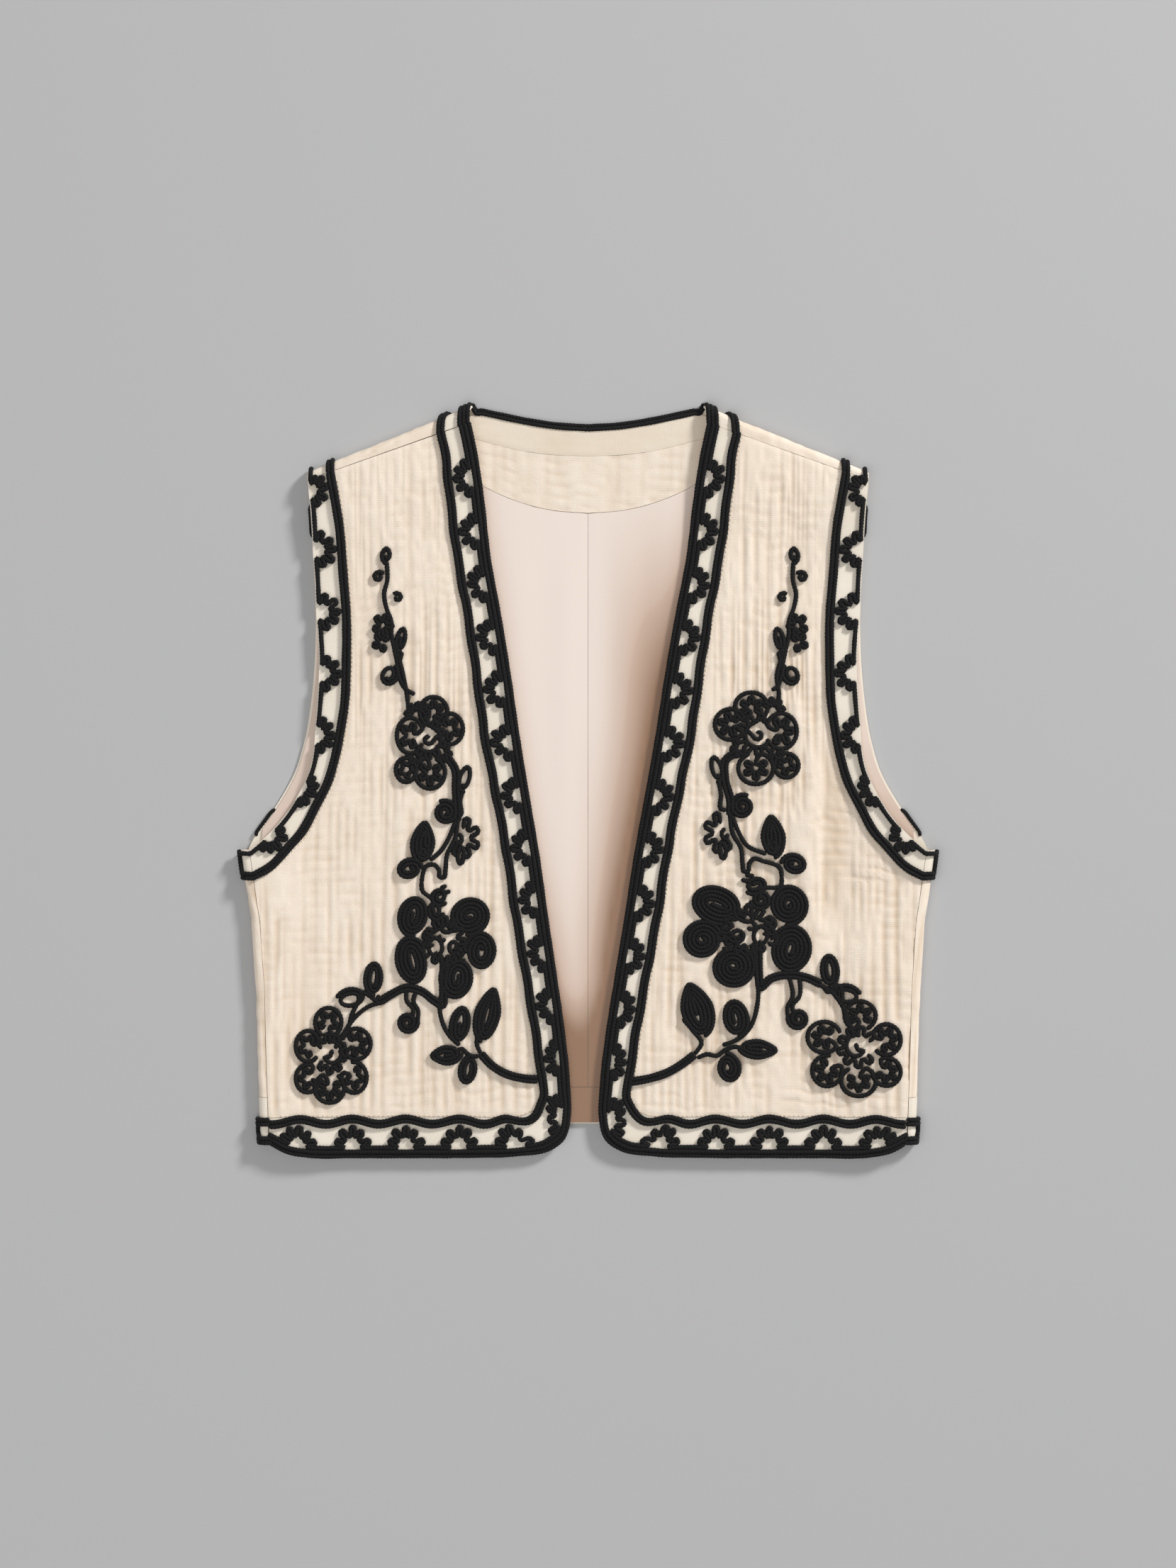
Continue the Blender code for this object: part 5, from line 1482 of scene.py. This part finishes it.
first_seen = int(round(SEEN_TURN * FOLD_STEPS))
shoulder_arm = arm[shoulder + first_seen:]
shoulder_neck = neck[neck_turn + first_seen:]
side_turn = arm[:len(steps) - first_seen]
side_middle = len(side_turn) // 2
front = Band(1, FRONT_BAND)
edge_y, front_wide = front.rows[-1][1], float(front.width(front.total))
for side, word in SIDES:
    mirror = np.array([side, 1.0, 1.0])
    paths = band_run(shoulder_neck, (1.3, 4.2, 7.1, -1.5, -4.4))
    paths += band_run(shoulder_arm, (2.6, -1.5, -4.4))
    sewn_cord("Shoulder_fold_cords_" + word, [p * mirror for p in paths], None, wraps=True,
              reach=1.2, seed=60)
    paths = band_run(side_turn, (-1.5, -4.4))
    edge_row = np.array(side_turn[side_middle + 1])
    share = np.linspace(0.06, 0.8, 9)[:, None]
    paths.append(over_fold(*(edge_row[:2] * (1 - share) + edge_row[2:] * share).T))
    paths.append(band_run(side_turn[:side_middle + 2], (2.2,))[0])
    corner_x = np.array([side_seam(HEM_Y) - step for step in steps[:len(steps) - first_seen]])
    for lift in (*EDGE_ROWS, *(front_wide - RAIL + row for row in SEAM_ROWS)):
        paths.append(over_fold(corner_x, edge_y + lift + 0 * corner_x))
    foot_y = np.linspace(edge_y + 2, edge_y + front_wide - RAIL + 2, 8)
    foot_x = side_seam(HEM_Y) - steps[len(steps) // 2] + 0.8 * np.sin(foot_y)
    paths.append(over_fold(foot_x, foot_y))
    sewn_cord("Side_fold_cords_" + word, [p * mirror for p in paths], None, wraps=True,
              reach=1.6, seed=61)

# %% Cord along the back neck and armholes
NECK_RIMS = ((0.9, 1.64), (-1.6, 3.0))      # out past the neck's edge, and height
NECK_RADIUS, LINK_RADIUS = 1.45, 1.4
LINK_PITCH, LINK_SEEN = 42.0, 22.0          # of the short lengths along an armhole
LINK_HEIGHT, LINK_BEND = 1.58, 1.6          # and how far they turn in at their ends
LINK_HIDDEN = (40.0, 190.0)     # where the edge lies flat and its cord is under it

neck_line = np.array([(r[0], r[1]) for r in neck[:neck_turn + first_seen]])
neck_line = np.concatenate([turned(neck_line)[::-1], neck_line[1:]])
rims = []
for out, z in NECK_RIMS:
    rims.append(np.stack([neck_line[:, 0], neck_line[:, 1] + out,
                          np.full(len(neck_line), z)], 1))
sewn_cord("Back_neck_cord", rims, None, ["back_neck_cord"], radius=NECK_RADIUS,
          reach=3.5, seed=62)
for side, word in SIDES:
    rows = np.array(smooth(BACK_ARMHOLE, 3.0))[:, :2]
    along = np.gradient(rows, axis=0)
    along /= np.linalg.norm(along, axis=1)[:, None]
    out = rows + 0.5 * np.stack([along[:, 1], -along[:, 0]], 1)
    run = lengths(out)
    paths = []
    for start in np.arange(6.0, run[-1] - 10, LINK_PITCH):
        if LINK_HIDDEN[0] < start < LINK_HIDDEN[1]:
            continue
        at = np.linspace(start, min(start + LINK_SEEN, run[-1]), 12)
        bend = LINK_BEND * (1 - np.minimum(1, np.minimum(at - at[0], at[-1] - at) / 3.5)) ** 2
        x = np.interp(at, run, out[:, 0]) - bend
        y = np.interp(at, run, out[:, 1])
        paths.append(np.stack([side * x, y, np.full_like(x, LINK_HEIGHT)], 1))
    sewn_cord("Back_armhole_cord_" + word, paths, None, ["back_armhole_cord_" + word],
              radius=LINK_RADIUS, seed=63)

# %% [markdown]
# ## Stitching
# A line of small stitches holds each pair of seam cords, just outside them on the panel, along the
# front band and round the armhole. Each stitch is one small closed bead.

# %% Stitches
STITCH = (1.1, 0.28, 0.22)      # half sizes of a stitch
STITCH_STEP = 3.1


def stitches(name, paths, height_at):
    """Small beads of thread, laid end to end along paths on the cloth."""
    bpy.ops.object.select_all(action="DESELECT")
    bpy.ops.mesh.primitive_ico_sphere_add(subdivisions=1, radius=1)
    bead = bpy.context.object
    shape = np.array([v.co[:] for v in bead.data.vertices]) * np.array(STITCH)
    corners = np.array([p.vertices[:] for p in bead.data.polygons])
    bpy.data.objects.remove(bead)
    points, faces = [], []
    for path in paths:
        line = rounded(path, 0.5)
        run = lengths(line)
        for at in np.arange(1.5, run[-1] - 1, STITCH_STEP):
            x, y = np.interp(at, run, line[:, 0]), np.interp(at, run, line[:, 1])
            dx = np.interp(at + 0.5, run, line[:, 0]) - x
            dy = np.interp(at + 0.5, run, line[:, 1]) - y
            size = math.hypot(dx, dy) or 1
            turn = np.array([[dx, dy, 0], [-dy, dx, 0], [0, 0, size]]) / size
            z = float(height_at(np.array([x]), np.array([y]))[0]) + 0.05
            faces += (corners + len(points) * len(shape)).tolist()
            points.append(shape @ turn + np.array([x, y, z]))
    mesh = bpy.data.meshes.new(name)
    mesh.from_pydata((np.concatenate(points) * MM).tolist(), [], faces)
    piece = bpy.data.objects.new(name, mesh)
    bpy.context.scene.collection.objects.link(piece)
    piece.data.materials.append(THREAD)
    only(piece)
    bpy.ops.object.shade_smooth()
    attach(piece, "root")
    print(f"{name}: {len(points)} stitches")


for side, word in SIDES:
    paths = []
    for table, past_seam in ((FRONT_BAND, 1.0), (FRONT_ARMHOLE, 0.9)):
        band = Band(side, table)
        s = np.arange(3, band.total - 3, 4.0)
        paths.append(band.place(s, band.width(s) + past_seam))
    stitches("Stitches_" + word, paths, on_front)
